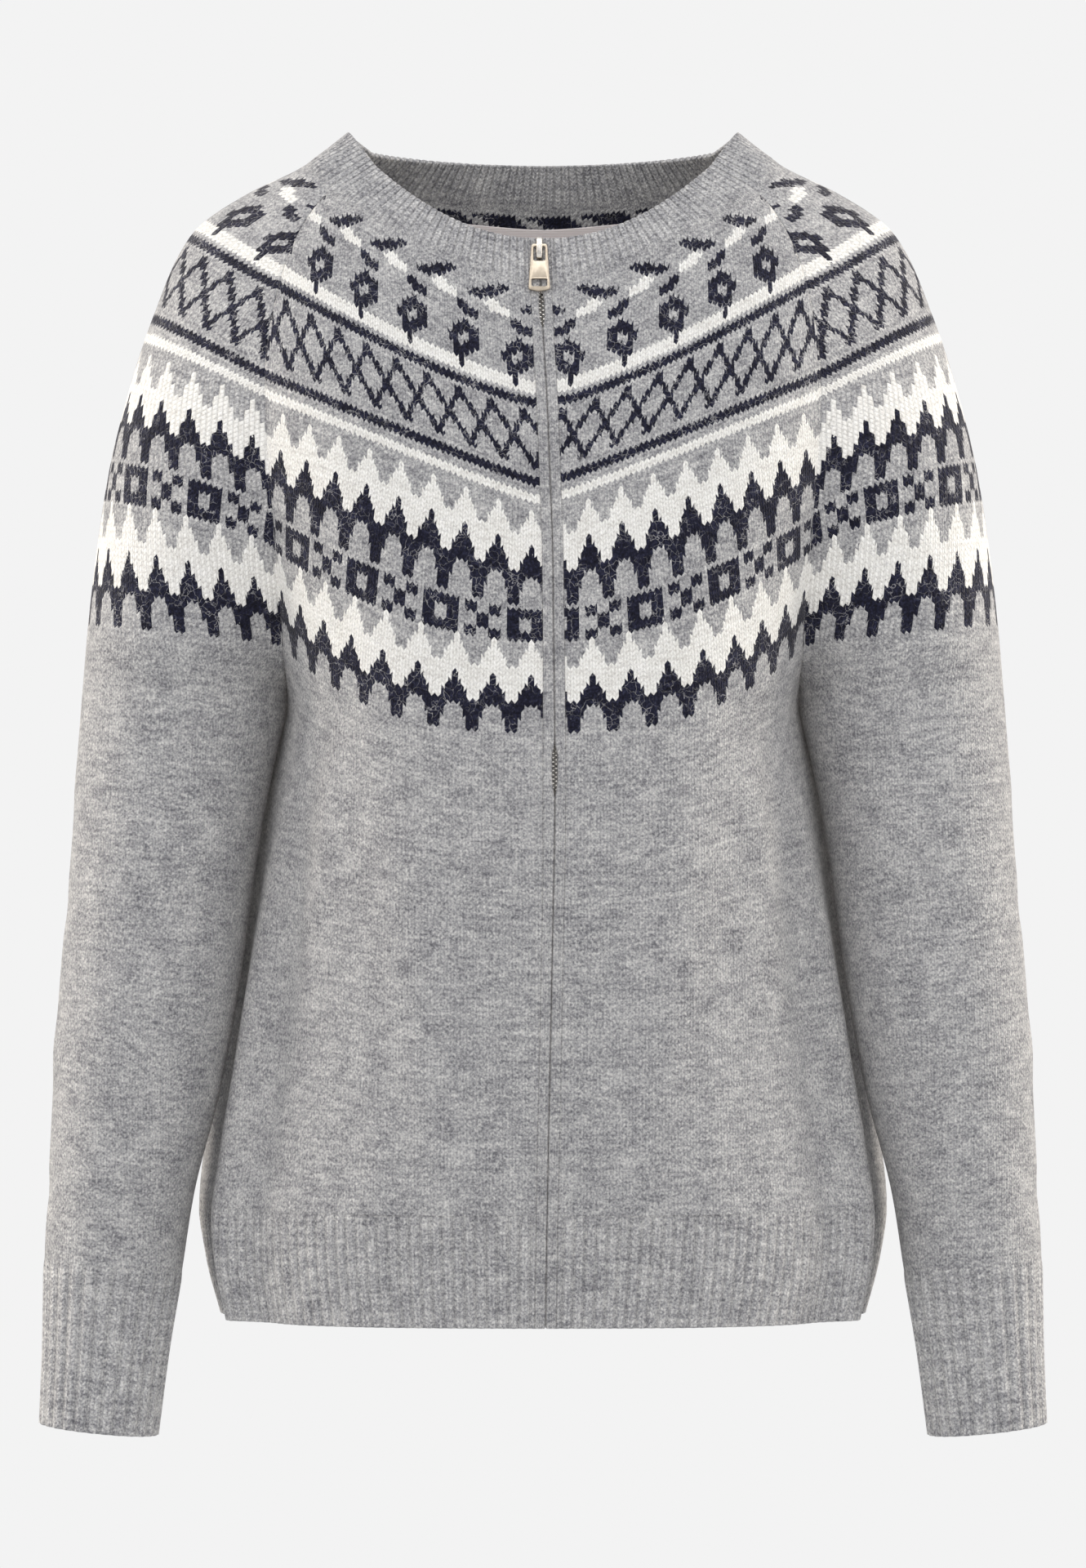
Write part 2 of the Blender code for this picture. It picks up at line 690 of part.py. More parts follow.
def bridge_piece(material, frame):
    """The loop on the slider's face, a closed ring seen from the side."""
    top, end = BRIDGE_ENDS
    hole_top, hole_end = BRIDGE_HOLE
    low, high = BRIDGE_HOLE_OUT
    foot = FRONT_PLATE[0] + 0.2
    outer = [(top, foot), (end, foot), (end, 3.2), (end - 1.2, BRIDGE_OUT)]
    outer += [(top + 1.6, BRIDGE_OUT), (top, 2.4)]
    inner = [(hole_top, low), (hole_end, low), (hole_end, high - 0.5), (hole_end - 0.5, high)]
    inner += [(hole_top + 0.5, high), (hole_top, high - 0.5)]
    mesh = bmesh.new()
    loops = []
    for outline in (outer, inner):
        verts = [mesh.verts.new((-0.5 * BRIDGE_WIDTH, -out, -down)) for down, out in outline]
        loops += [mesh.edges.new((verts[i - 1], verts[i])) for i in range(len(verts))]
    flat = bmesh.ops.bridge_loops(mesh, edges=loops)["faces"]
    raised = bmesh.ops.extrude_face_region(mesh, geom=flat, use_keep_orig=True)["geom"]
    tops = [item for item in raised if isinstance(item, bmesh.types.BMVert)]
    bmesh.ops.translate(mesh, vec=(BRIDGE_WIDTH, 0.0, 0.0), verts=tops)
    return finish("bridge_guide", mesh, material, frame)


def make_slider(material):
    frame = slider_frame(0.0)
    plate = centred(PLATE_WIDTH)
    down = (PLATE_TOP, PLATE_END)
    slider = box_piece("slider", plate, FRONT_PLATE, down, material, frame)
    back_plate = box_piece("back_plate_guide", plate, BACK_PLATE, down, material, frame)
    post_out = (BACK_PLATE[0] + 0.2, FRONT_PLATE[1] - 0.2)
    post_down = (PLATE_TOP + 0.2, POST_END)
    post = box_piece("post_guide", centred(POST_WIDTH), post_out, post_down, material, frame)
    for other in (post, back_plate, bridge_piece(material, frame)):
        combine(slider, other, "UNION")


def make_pull_tab(material):
    """The pull: a tapered plate with a slot round the bridge and a window at its end."""
    frame = slider_frame(PIVOT_OUT)
    half = 0.5 * TAB_WALL
    outline = [(-TAB_HALF_TOP, TAB_TOP), (TAB_HALF_TOP, TAB_TOP), (TAB_HALF_END, TAB_END)]
    outline += [(0.0, TAB_POINT), (-TAB_HALF_END, TAB_END)]
    mesh = bmesh.new()
    face = mesh.faces.new([mesh.verts.new((x, -half, -down)) for x, down in outline])
    raised = bmesh.ops.extrude_face_region(mesh, geom=[face], use_keep_orig=True)["geom"]
    tops = [item for item in raised if isinstance(item, bmesh.types.BMVert)]
    bmesh.ops.translate(mesh, vec=(0.0, TAB_WALL, 0.0), verts=tops)
    tab = finish("pull_tab", mesh, material, frame)
    for name, (start, end, half_width) in (("slot", TAB_SLOT), ("window", TAB_HOLE)):
        hole = box_piece(name + "_guide", centred(2 * half_width), centred(3 * TAB_WALL),
                         (start, end), material, frame)
        combine(tab, hole, "DIFFERENCE")


def main():
    clear_scene()
    knit = cloth_material("knit_grey", GREY)
    make_body(cloth_material("knit_patterned", GREY))
    make_sleeves(cloth_material("knit_sleeve", GREY))
    make_ribs(knit)
    make_edge_bands(knit)
    make_zip(cloth_material("zip_tape", TAPE_GREY), metal_material("teeth", NICKEL),
             metal_material("retainer", NICKEL))
    make_label(cloth_material("label_satin", PINK))
    make_slider(metal_material("slider_nickel", NICKEL))
    make_pull_tab(metal_material("pull_nickel", NICKEL))


main()
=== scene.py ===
"""The finished look of a zip cardigan with a patterned round yoke, hollow as it is when worn.

Every knitted piece is a sheet of stitches laid on the cardigan's courses: a row of the sheet
is a course of knitting, and its columns follow the wales. Each stitch is two slanting cells,
the legs of its V, and each cell has the yarn that the chart gives it, so the pattern's edges
are jagged as in real knitting. Sizes are millimetres, turned to metres when a piece is made.
Left and right are the wearer's. The tables of courses and seams follow the frame's.
"""

import math

import bmesh
import bpy
import numpy as np
from mathutils import Matrix, Vector


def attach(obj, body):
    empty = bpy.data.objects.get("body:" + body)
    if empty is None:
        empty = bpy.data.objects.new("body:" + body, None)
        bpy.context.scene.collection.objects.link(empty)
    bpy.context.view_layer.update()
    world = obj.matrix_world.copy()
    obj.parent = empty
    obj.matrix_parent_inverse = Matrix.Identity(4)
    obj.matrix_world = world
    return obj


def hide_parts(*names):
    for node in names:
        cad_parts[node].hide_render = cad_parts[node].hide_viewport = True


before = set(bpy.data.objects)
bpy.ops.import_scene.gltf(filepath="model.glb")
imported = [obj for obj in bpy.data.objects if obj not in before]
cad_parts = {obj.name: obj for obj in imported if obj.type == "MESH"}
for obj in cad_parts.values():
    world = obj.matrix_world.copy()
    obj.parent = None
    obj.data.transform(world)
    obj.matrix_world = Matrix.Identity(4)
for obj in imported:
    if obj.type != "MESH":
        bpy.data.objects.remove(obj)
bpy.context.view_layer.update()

MM = 0.001
SIDES = {"right": -1.0, "left": 1.0}

# Cloth: the wall, how far two walls that lie face to face share it, and how far beside a
# seam the last line of cells is.
CLOTH_WALL = 2.6
SEAM_OVERLAP = 0.3
SEAM_TURN = 0.25

# Levels count the courses down from the foot of the neckband, in millimetres of knitting.
NECK_TOP = -26.0
NECK_FOOT = 0.0
UNDERARM = 249.0
RIB_TOP = 466.0
HEM = 523.0
CUFF_TOP = 533.0
CUFF_END = 616.0

# Centre front and centre back of each course: place, how late the course rises
# towards the seam (bow), and the fullness of its curve against its chord.
CENTRE_COLUMNS = ("level", "y", "z", "bow", "fullness")
CENTRE_FRONT = (
    (-26.0, -79.0, -61.0, 2.1, 1.10),
    (0.0, -88.0, -87.5, 1.35, 1.10),
    (54.0, -103.0, -143.0, 1.35, 1.10),
    (97.0, -112.0, -185.5, 1.1, 1.12),
    (127.0, -117.0, -216.0, 1.1, 1.15),
    (165.0, -121.0, -254.5, 1.8, 1.18),
    (219.0, -124.0, -308.5, 2.8, 1.30),
    (249.0, -125.0, -338.0, 2.7, 1.50),
    (275.0, -125.0, -362.0, 2.6, 1.50),
    (335.0, -122.0, -420.0, 2.3, 1.42),
    (395.0, -118.0, -480.0, 2.0, 1.36),
    (440.0, -115.0, -524.0, 2.0, 1.36),
    (466.0, -112.0, -550.0, 2.0, 1.40),
    (523.0, -107.0, -606.5, 2.0, 1.44),
)
CENTRE_BACK = (
    (-26.0, 58.0, -12.0, 1.6, 1.10),
    (0.0, 63.0, -35.5, 1.4, 1.10),
    (54.0, 82.0, -86.0, 1.3, 1.10),
    (97.0, 91.0, -128.0, 1.2, 1.12),
    (127.0, 95.0, -159.0, 1.2, 1.15),
    (165.0, 98.0, -199.0, 1.5, 1.20),
    (219.0, 99.0, -255.0, 2.0, 1.28),
    (249.0, 99.0, -290.0, 2.0, 1.56),
    (275.0, 98.0, -318.0, 2.0, 1.50),
    (335.0, 94.0, -391.0, 2.0, 1.50),
    (395.0, 91.0, -465.0, 2.0, 1.45),
    (440.0, 92.0, -518.0, 2.0, 1.46),
    (466.0, 93.0, -550.0, 2.0, 1.46),
    (523.0, 91.0, -607.0, 2.0, 1.46),
)

# Raglan seams, then the side seam below the arm. body_turn and arm_turn are the
# directions of the course as it reaches and leaves the seam, in degrees from
# straight out towards the back. lap is 1 where the two walls lie face to face.
SEAM_COLUMNS = ("level", "x", "y", "z", "body_turn", "arm_turn", "lap")
FRONT_RAGLAN = (
    (-26.0, 85.0, -36.0, -21.0, 55.0, 55.0, 0.0),
    (0.0, 109.0, -45.0, -35.5, 50.0, 50.0, 0.0),
    (54.0, 132.0, -68.0, -82.0, 42.0, 42.0, 0.0),
    (97.0, 139.0, -80.0, -129.0, 42.0, 28.0, 0.0),
    (127.0, 138.0, -82.0, -162.0, 46.0, 12.0, 0.0),
    (165.0, 134.5, -76.0, -207.0, 54.0, -6.0, 0.0),
    (219.0, 131.5, -50.0, -264.0, 70.0, -36.0, 0.2),
)
BACK_RAGLAN = (
    (-26.0, 88.0, 33.0, -8.0, 55.0, 55.0, 0.0),
    (0.0, 105.0, 41.0, -24.0, 50.0, 50.0, 0.0),
    (54.0, 128.0, 60.0, -68.0, 42.0, 42.0, 0.0),
    (97.0, 136.0, 64.0, -116.0, 42.0, 28.0, 0.0),
    (127.0, 137.0, 62.0, -152.0, 46.0, 12.0, 0.0),
    (165.0, 134.0, 50.0, -199.0, 54.0, -6.0, 0.0),
    (219.0, 131.5, 26.0, -258.0, 66.0, -36.0, 0.2),
)
SIDE_SEAM = (
    (249.0, 131.0, -10.0, -294.0, 84.0, -88.0, 1.0),
    (258.0, 132.4, -5.0, -306.0, 84.0, -90.0, 1.0),
    (275.0, 138.6, 6.0, -328.0, 82.0, -90.0, 1.0),
    (335.0, 153.8, 22.0, -400.0, 80.0, -90.0, 1.0),
    (395.0, 165.8, 28.0, -470.0, 80.0, -90.0, 1.0),
    (440.0, 174.0, 28.0, -521.0, 81.0, -90.0, 1.0),
    (466.0, 176.7, 24.0, -550.0, 83.0, -90.0, 1.0),
    (494.0, 172.5, 16.0, -579.0, 86.0, -90.0, 1.0),
    (523.0, 164.8, 11.0, -607.0, 88.0, -90.0, 1.0),
)

# Outside of the shoulder and arm, and how full the sleeve's curve is.
OUTER_COLUMNS = ("level", "x", "y", "z", "bow", "fullness")
OUTER_ARM = (
    (-26.0, 99.0, 1.0, -1.0, 1.0, 1.05),
    (0.0, 121.0, 1.0, -18.0, 1.0, 1.05),
    (27.0, 152.5, 0.5, -33.5, 1.1, 1.06),
    (54.0, 179.2, 0.0, -53.0, 1.1, 1.10),
    (97.0, 199.2, -5.0, -96.5, 1.0, 1.15),
    (127.0, 210.5, -8.0, -132.0, 0.8, 1.22),
    (165.0, 221.5, -11.0, -177.5, 0.62, 1.32),
    (219.0, 231.5, -14.0, -253.0, 0.8, 1.55),
    (249.0, 234.5, -15.0, -288.5, 1.0, 1.86),
    (280.0, 237.0, -16.0, -322.0, 1.0, 1.90),
    (320.0, 239.4, -17.0, -361.0, 1.0, 1.90),
    (380.0, 244.5, -18.0, -420.0, 1.0, 1.90),
    (440.0, 248.6, -19.0, -481.0, 1.0, 1.92),
    (495.0, 251.5, -20.0, -537.0, 1.0, 1.92),
    (533.0, 253.4, -21.0, -576.5, 1.0, 1.90),
    (575.0, 254.1, -21.0, -618.5, 1.0, 1.90),
    (616.0, 255.7, -22.0, -661.5, 1.0, 1.90),
)
# Inner side of the arm, from the underarm point to the cuff's edge.
INNER_COLUMNS = ("level", "x", "y", "z")
INNER_ARM = (
    (249.0, 131.0, -10.0, -294.0),
    (258.0, 133.7, -10.5, -303.0),
    (280.0, 140.1, -12.0, -330.0),
    (320.0, 147.4, -14.0, -370.0),
    (380.0, 155.4, -16.0, -430.0),
    (440.0, 166.0, -18.0, -490.0),
    (495.0, 179.9, -20.0, -545.0),
    (533.0, 185.8, -21.0, -583.0),
    (575.0, 192.8, -21.0, -625.0),
    (616.0, 198.3, -22.0, -667.5),
)

# The zip's line wanders a little across the front.
ZIP_COLUMNS = ("level", "x")
ZIP_LINE = (
    (-26.0, -2.0),
    (0.0, -1.0),
    (20.0, 0.0),
    (54.0, 2.0),
    (97.0, 3.6),
    (130.0, 4.8),
    (165.0, 5.2),
    (219.0, 5.8),
    (250.0, 5.9),
    (340.0, 4.5),
    (440.0, 2.5),
    (523.0, 1.2),
)

# The soft upright fold where each front turns to the side, and the hollows beside it.
# Columns: place along the course from the centre (0) to the side seam (1), width
# there, height over the cloth, the level it starts at and the level it is full by.
SIDE_FOLDS = (
    (0.78, 0.050, 4.5, 270.0, 380.0),
    (0.90, 0.045, -4.0, 270.0, 400.0),
    (0.64, 0.060, -3.0, 250.0, 360.0),
)

# Where the front turns to the side it is pushed towards the front, in the same columns.
SIDE_EDGE = (0.83, 0.11, 8.0, 262.0, 340.0)

# Steps for reading a course, how a lap between two walls fades out below the underarm, and
# how far a front's centre edge lies from the zip's line.
ARC_STEPS = 96
SLOPE_STEP = 0.5
LAP_FADE = 9.0
TO_BACK = {"front": 1.0, "back": -1.0}
INTO_ARM, ROUND_ARM = -90.0, 90.0
PANEL_EDGE = 5.3

# Knitting: the height of a row, how far a stitch's V dips in the middle (in rows), the rows
# of the pattern, how many rows one line of cells covers in the plain part, and how uneven
# the stitches are (in rows). Dips and creases fade out over the last EVEN_OUT before a seam.
ROW = 2.147
DIP = 0.85
PATTERN_ROWS = 105
PLAIN_STEP = 3
UNEVEN = 0.10
EVEN_OUT = 2.0

# Columns: level, where wale 0 lies and how wide a stitch is. A front's wale 0 is counted
# from the middle plane and a sleeve's from the outside of the arm, towards the front.
WALE_START, WALE_WIDTH = 1, 2
FRONT_WALES = ((0.0, 6.3, 2.87), (54.0, 3.8, 2.86), (100.0, 3.2, 2.85), (128.0, 3.0, 2.92),
               (165.0, 2.7, 3.05), (203.0, 2.4, 3.2), (219.0, 2.3, 3.25))
BACK_WALES = ((0.0, 0.0, 2.87), (100.0, 0.0, 2.85), (165.0, 0.0, 3.05), (219.0, 0.0, 3.25))
SLEEVE_WALES = ((0.0, 0.0, 3.6), (54.0, 0.0, 3.7), (75.0, 0.0, 3.6), (110.0, 0.0, 3.1),
                (127.0, 4.9, 3.1), (157.0, 12.0, 3.1), (178.0, 19.7, 2.85), (203.0, 24.5, 2.8),
                (218.0, 26.7, 2.85))

# The chart, read away from the centre front, a line of letters for each row of a repeat:
# N navy, W white, a dot for the ground.
GREY_YARN, NAVY_YARN, WHITE_YARN = 0.0, 1.0, 2.0
YARNS = {".": GREY_YARN, "N": NAVY_YARN, "W": WHITE_YARN}
DASHES = (
    "....NN....",
    ".....NNN..",
    "......NNN.",
    "N......NNN",
    "NN....WW.N",
    "....WWWWW.",
    "....WWWW..",
    "..NN......",
    "NNNN......",
    "NNN.......",
)
RINGS = (
    "..N.......",
    "NNNN......",
    "NNNNN.....",
    "NN.NN.....",
    "NN..NN....",
    "NNN.NN....",
    ".NNNN.....",
    "..NNN.....",
    "...NN.....",
    "...N......",
    "...N......",
)
SQUARES = (
    "NNNNNN.NN..NN.",
    "NNNNNN.NN..NN.",
    "NN..NN...NN...",
    "NN..NN...NN...",
    "NN..NN...NN...",
    "NNNNNN.NN..NN.",
    "NNNNNN.NN..NN.",
)
# Which shift each repeat follows and the row it starts in, then the plain stripes by row.
CHARTS = (("dashes", 1, DASHES), ("rings", 12, RINGS), ("zigzag", 74, SQUARES))
STRIPES = {21: WHITE_YARN, 22: WHITE_YARN, 23: WHITE_YARN, 25: NAVY_YARN, 26: NAVY_YARN,
           44: NAVY_YARN, 45: NAVY_YARN, 48: WHITE_YARN, 49: WHITE_YARN}
# The lattice, in half stitches: from each peak a long line runs towards the centre and a
# short one away from it. Columns: slope for a row, and width.
LATTICE_ROWS = (28, 41)
LATTICE_REPEAT = 12
LATTICE_PEAK = 3.6
LATTICE_LINES = ((-1.28, 3), (0.66, 2))
# Two zigzags. For each half stitch of the repeat: the row its white starts in, and the row
# its navy ends before. Then the rows of white, which the navy follows.
ZIGZAG_BASES = (52, 81)
ZIGZAG_STARTS = (4, 3, 2, 0, 0, 2, 3, 4, 6, 6, 6, 6)
ZIGZAG_ENDS = (18, 16, 15, 15, 15, 15, 16, 18, 21, 21, 21, 21)
ZIGZAG_WHITE = 8
# A yarn that a row uses within this many half stitches crosses behind a cell.
FLOAT_REACH = 9
# Where each panel starts its repeats, in stitches. With sign -1 the chart runs the other way.
FRONT_SHIFTS = {"sign": 1, "dashes": 0, "rings": 0, "lattice": 0, "zigzag": 1}
BACK_SHIFTS = {"sign": 1, "dashes": 9, "rings": 2, "lattice": 0, "zigzag": 3}
SLEEVE_SHIFTS = {"sign": -1, "dashes": 7, "rings": 2, "lattice": 1, "zigzag": 0}

# The yarns' colours, dark, middle and light fibres: grey, navy and off-white. Then how much
# a cell's own yarn counts against its neighbours', and how far the edge swings.
YARN_COLOURS = (("#6a6a70", "#a5a5a7", "#d8d7d5"), ("#0c0c16", "#1b1c2d", "#33354a"),
                ("#d0cdc9", "#ecebe7", "#faf9f7"))
OWN_SHARE = 0.55
EDGE_SWING = 1.9
HAIR_COLOUR = "#c2c1c2"

# The wool's patterns, as repeats a metre: a fleck of fibre every 1.3 mm, fuzz every 1.1 mm,
# clouds of tone every 13 mm, hairs some 4 mm apart that curl every 8 mm, and how far they
# are bent, in metres.
FLECKS = 760.0
FUZZ = 900.0
CLOUDS = 75.0
HAIRS = 230.0
CURLS = 130.0
HAIR_BEND = 0.013
# As repeats a stitch and a row: streaks 5 stitches long in the yarn's direction, and the
# short points along the wales where two yarns meet.
STREAKS = (0.22, 0.75, 1.0)
POINTS = (2.1, 0.55, 1.0)
# What flecks, streaks and clouds each add to the tone, and where the dark and the light
# fibres lie in it.
FLECK_SHARE, STREAK_SHARE, CLOUD_SHARE = 0.62, 0.22, 0.16
DARK_FIBRE, LIGHT_FIBRE = 0.37, 0.63

# Ribs, 1 x 1: cells across one rib, how far from the flat knitting it takes to grow, and how dark
# the painted shade in the hollow wales is. For each band, its ribs and their rise over the middle
# of the cloth. Then how thick the wall is at a free edge, against the rest.
RIB_CELLS = 6
RIB_GROWS = 5.0
RIB_SHADE = 0.92
RIBS = {"neckband": (150, 0.50), "hem": (168, 0.40), "cuff": (27, 0.62)}
RIB_EDGE_TAPER = 0.45
BAND_EDGE_TAPER = 0.5

# How far apart the lines of cells are on each kind of band, and beside a free edge.
NECK_STEP, RIB_STEP, BAND_STEP, TAPE_STEP, LABEL_STEP = 2.6, 3.0, 4.5, 6.0, 2.5
FREE_EDGE_LINES = (0.35, 1.0)
# The width of a stitch or a group of threads on the strips.
STRIP_STITCH = 2.2

# Soft creases. Columns: level, place (from the centre line, or from the outside of the arm towards
# the front), half length, half width, height, and the turn of its length in degrees from straight
# down towards the outside.
FRONT_CREASES = (
    (236.0, 112.0, 34.0, 7.0, -1.6, 38.0),
    (252.0, 96.0, 40.0, 10.0, 1.2, 30.0),
    (285.0, 118.0, 60.0, 9.0, 1.3, 8.0),
    (330.0, 92.0, 95.0, 15.0, -1.5, -6.0),
    (375.0, 58.0, 90.0, 17.0, 1.4, -10.0),
    (350.0, 30.0, 85.0, 12.0, -1.2, -14.0),
    (430.0, 84.0, 60.0, 12.0, 1.2, -4.0),
    (420.0, 36.0, 55.0, 14.0, -1.3, -12.0),
    (180.0, 100.0, 30.0, 8.0, -0.9, 30.0),
    (150.0, 60.0, 45.0, 18.0, 0.9, 12.0),
)
BACK_CREASES = (
    (240.0, 118.0, 38.0, 8.0, -1.6, 34.0),
    (243.0, -120.0, 33.0, 7.0, -1.5, -36.0),
    (262.0, 100.0, 45.0, 11.0, 1.3, 28.0),
    (270.0, -97.0, 52.0, 10.0, 1.4, -24.0),
    (345.0, 74.0, 100.0, 16.0, -1.8, 5.0),
    (360.0, -62.0, 90.0, 18.0, 1.6, -8.0),
    (330.0, 8.0, 110.0, 20.0, -1.5, 3.0),
    (410.0, 38.0, 60.0, 13.0, 1.4, 8.0),
    (425.0, -104.0, 65.0, 12.0, -1.3, -5.0),
    (400.0, 120.0, 70.0, 12.0, 1.3, 4.0),
    (120.0, -30.0, 50.0, 20.0, 0.8, -12.0),
)
SLEEVE_CREASES = (
    (215.0, 96.0, 22.0, 7.0, -1.5, 60.0),
    (246.0, 82.0, 26.0, 8.0, 1.4, 66.0),
    (276.0, 66.0, 34.0, 9.0, -1.3, 74.0),
    (318.0, 44.0, 36.0, 12.0, 1.3, 80.0),
    (352.0, 58.0, 30.0, 9.0, -1.4, 84.0),
    (392.0, 36.0, 38.0, 13.0, 1.2, 98.0),
    (438.0, 50.0, 30.0, 12.0, -1.2, 102.0),
    (486.0, 30.0, 34.0, 10.0, 1.2, 94.0),
    (512.0, 52.0, 24.0, 7.0, -1.1, 86.0),
    (250.0, -80.0, 28.0, 8.0, -1.4, -62.0),
    (300.0, -58.0, 34.0, 10.0, 1.3, -78.0),
    (360.0, -50.0, 36.0, 10.0, -1.5, -86.0),
    (428.0, -36.0, 36.0, 13.0, 1.3, -100.0),
    (500.0, -42.0, 30.0, 9.0, -1.2, -92.0),
)

# Edge bands and zip: stations lie across from the zip's line and out of the middle of the
# cloth. Above BAND_OPEN a band's inner edge gives way to the slider's bridge by BAND_OPENS,
# and from BAND_CLOSED down it doesn't. In the BAND_GAPS it gapes, so that the teeth show.
BAND_STATIONS = ((0.8, -0.9), (0.84, 0.05), (1.3, 0.45), (2.8, 0.55), (4.6, 0.55), (6.0, 0.4))
BAND_OPENS = 1.25
BAND_OPEN = -16.0
BAND_CLOSED = -9.0
BAND_GAPS = ((1.0, 16.0), (228.0, 249.0))
GAP_OPENS = 1.3
GAP_FADE = 5.0
BAND_WALL = 1.5
TAPE_STATIONS = ((2.5, -3.2), (5.5, -2.8), (8.0, -2.3), (11.0, -2.3), (14.0, -2.3))
TAPE_TOP = -24.5
TAPE_WALL = 0.6
CHAIN_TOP = -19.0
CHAIN_END = 513.6
CHAIN_DEPTH = -3.2

# Teeth: their step in one row, their size, how far their middle lies from the zip's line,
# how their head narrows, and how round their edges are.
TOOTH_STEP = 2.2
TOOTH_SIZE = (2.5, 1.5, 0.95)
TOOTH_ASIDE = 0.85
TOOTH_HEAD = (1.0, 0.8, 0.72)
TOOTH_ROUND = 0.18

# Slider, in millimetres from its middle: outlines are (across, up), or (out, up) for the
# bridge and its eye. Each plate's cut is its thickness, corner radius and edge radius.
SLIDER_LEVEL = -21.7
PLATES_OUT = (-1.6, -4.8)
SHIELD = ((-3.9, 4.8), (3.9, 4.8), (3.9, 0.5), (2.9, -7.6), (-2.9, -7.6), (-3.9, 0.5))
SHIELD_CUT = (0.8, 1.4, 0.2)
POST = ((-1.1, -2.0), (1.1, -2.0), (1.1, 4.6), (-1.1, 4.6))
POST_CUT = (2.6, 0.8, 0.1)
BRIDGE = ((-1.9, 4.9), (-1.9, -7.3), (2.6, -7.3), (4.6, -5.6), (4.7, 3.2), (2.6, 4.9))
BRIDGE_CUT = (2.9, 1.1, 0.5)
EYE = ((1.35, 1.35), (3.65, 1.35), (3.65, -5.4), (1.35, -5.4))
EYE_CORNER = 0.6

# Pull, from its pivot: the blade, the slot that the bridge goes through, and the window
# with its raised rim on both faces.
PIVOT_OUT = 2.5
BLADE = ((-3.9, 0.7), (3.9, 0.7), (5.5, -24.0), (0.0, -25.2), (-5.5, -24.0))
BLADE_CUT = (1.3, 1.3, 0.3)
SLOT = ((-2.95, -8.6), (2.95, -8.6), (2.95, -0.8), (-2.95, -0.8))
SLOT_CORNER = 1.0
WINDOW = ((-3.95, -22.6), (3.95, -22.6), (3.95, -18.3), (-3.95, -18.3))
WINDOW_CORNER = 0.9
RIM = ((-4.55, -23.2), (4.55, -23.2), (4.55, -17.7), (-4.55, -17.7))
RIM_CUT = (0.3, 1.2, 0.13)
RIM_OUT = 0.55

# Retainer box at the zip's foot: size, level, depth, and how round its low edges and then
# all its edges are.
RETAINER_SIZE = (7.0, 2.4, 7.8)
RETAINER_LEVEL = 518.0
RETAINER_DEPTH = -2.6
RETAINER_LOW_ROUND = 0.9
RETAINER_ROUND = 0.35

# Metal edges that turn more than this, in degrees, are rounded, and shaded as edges.
ROUND_ANGLE = 35.0
SHARP_ANGLE = 50.0

# Points nearer than this are one, in cloth and in cut plates.
CLOTH_MERGE = 0.02
PLATE_MERGE = 0.002

# Label inside the back neck
LABEL_WIDTH = 84.0
LABEL_LEVELS = (9.5, 44.0)
LABEL_DEPTH = 2.2
LABEL_WALL = 0.4
LABEL_COLUMNS = 29

# The photograph's height in pixels, millimetres a pixel at the middle plane, the camera's
# height, how far in front of the middle plane it stands, and its lens.
PHOTO_HEIGHT = 1920
MM_PER_PIXEL = 0.42
CAMERA_HEIGHT = -335.0
CAMERA_DISTANCE = 3500.0
CAMERA_LENS = 85.0
CAMERA_SEES = 50.0

# The stage: the backdrop's colour, the floor, and the colour and strength of the light that
# the backdrop gives the wool. Lights: name, place, aim, size, power, colour and whether it
# casts shadows, in metres and watts. The side lights reach between the arms and the body.
BACKDROP = "#f3f3f3"
FLOOR_LEVEL = -0.70
FLOOR_HALF = 2.2
FILL_COLOUR = "#f6f6f8"
FILL_LIGHT = 0.75
LIGHTS = (
    ("top", (0.0, -1.0, 1.7), (0.0, 0.0, -0.12), (1.8, 1.2), 18.0, "#ffffff", True),
    ("rim_right", (-2.2, 0.5, 0.1), (0.0, 0.0, -0.32), (0.8, 1.8), 40.0, "#fff4e4", True),
    ("rim_left", (2.2, 0.5, 0.1), (0.0, 0.0, -0.32), (0.8, 1.8), 40.0, "#fff4e4", True),
    ("side_right", (-1.1, -0.7, -0.2), (0.0, 0.0, -0.35), (0.6, 1.2), 2.4, "#fff7ee", False),
    ("side_left", (1.1, -0.7, -0.2), (0.0, 0.0, -0.35), (0.6, 1.2), 2.4, "#fff7ee", False),
)


def unit(vectors):
    """The same directions, each of length 1."""
    return vectors / np.maximum(np.linalg.norm(vectors, axis=-1, keepdims=True), 1e-9)


def curve_slopes(at, values):
    """Slopes of the smooth curve that never overshoots between the given points."""
    steps = np.diff(at)
    rise = np.diff(values) / steps
    slopes = np.zeros(len(at))
    for i in range(1, len(at) - 1):
        before, after = rise[i - 1], rise[i]
        if before * after > 0:
            w_before = 2 * steps[i] + steps[i - 1]
            w_after = steps[i] + 2 * steps[i - 1]
            slopes[i] = (w_before + w_after) / (w_before / before + w_after / after)
    slopes[0] = rise[0]
    slopes[-1] = rise[-1]
    return slopes


def make_curves(table, columns):
    """One smooth function of the level for each named column of a table."""
    rows = np.array(table)
    at = rows[:, 0]
    curves = {}
    for place, name in enumerate(columns[1:], start=1):
        curves[name] = (at, rows[:, place], curve_slopes(at, rows[:, place]))
    return curves


def read(curves, name, level):
    """The value of one column at a level."""
    at, values, slopes = curves[name]
    level = min(max(level, at[0]), at[-1])
    i = min(int(np.searchsorted(at, level, side="right")) - 1, len(at) - 2)
    step = at[i + 1] - at[i]
    t = (level - at[i]) / step
    start = (1 + 2 * t) * (1 - t) ** 2 * values[i] + t * (1 - t) ** 2 * step * slopes[i]
    end = t * t * (3 - 2 * t) * values[i + 1] + t * t * (t - 1) * step * slopes[i + 1]
    return start + end


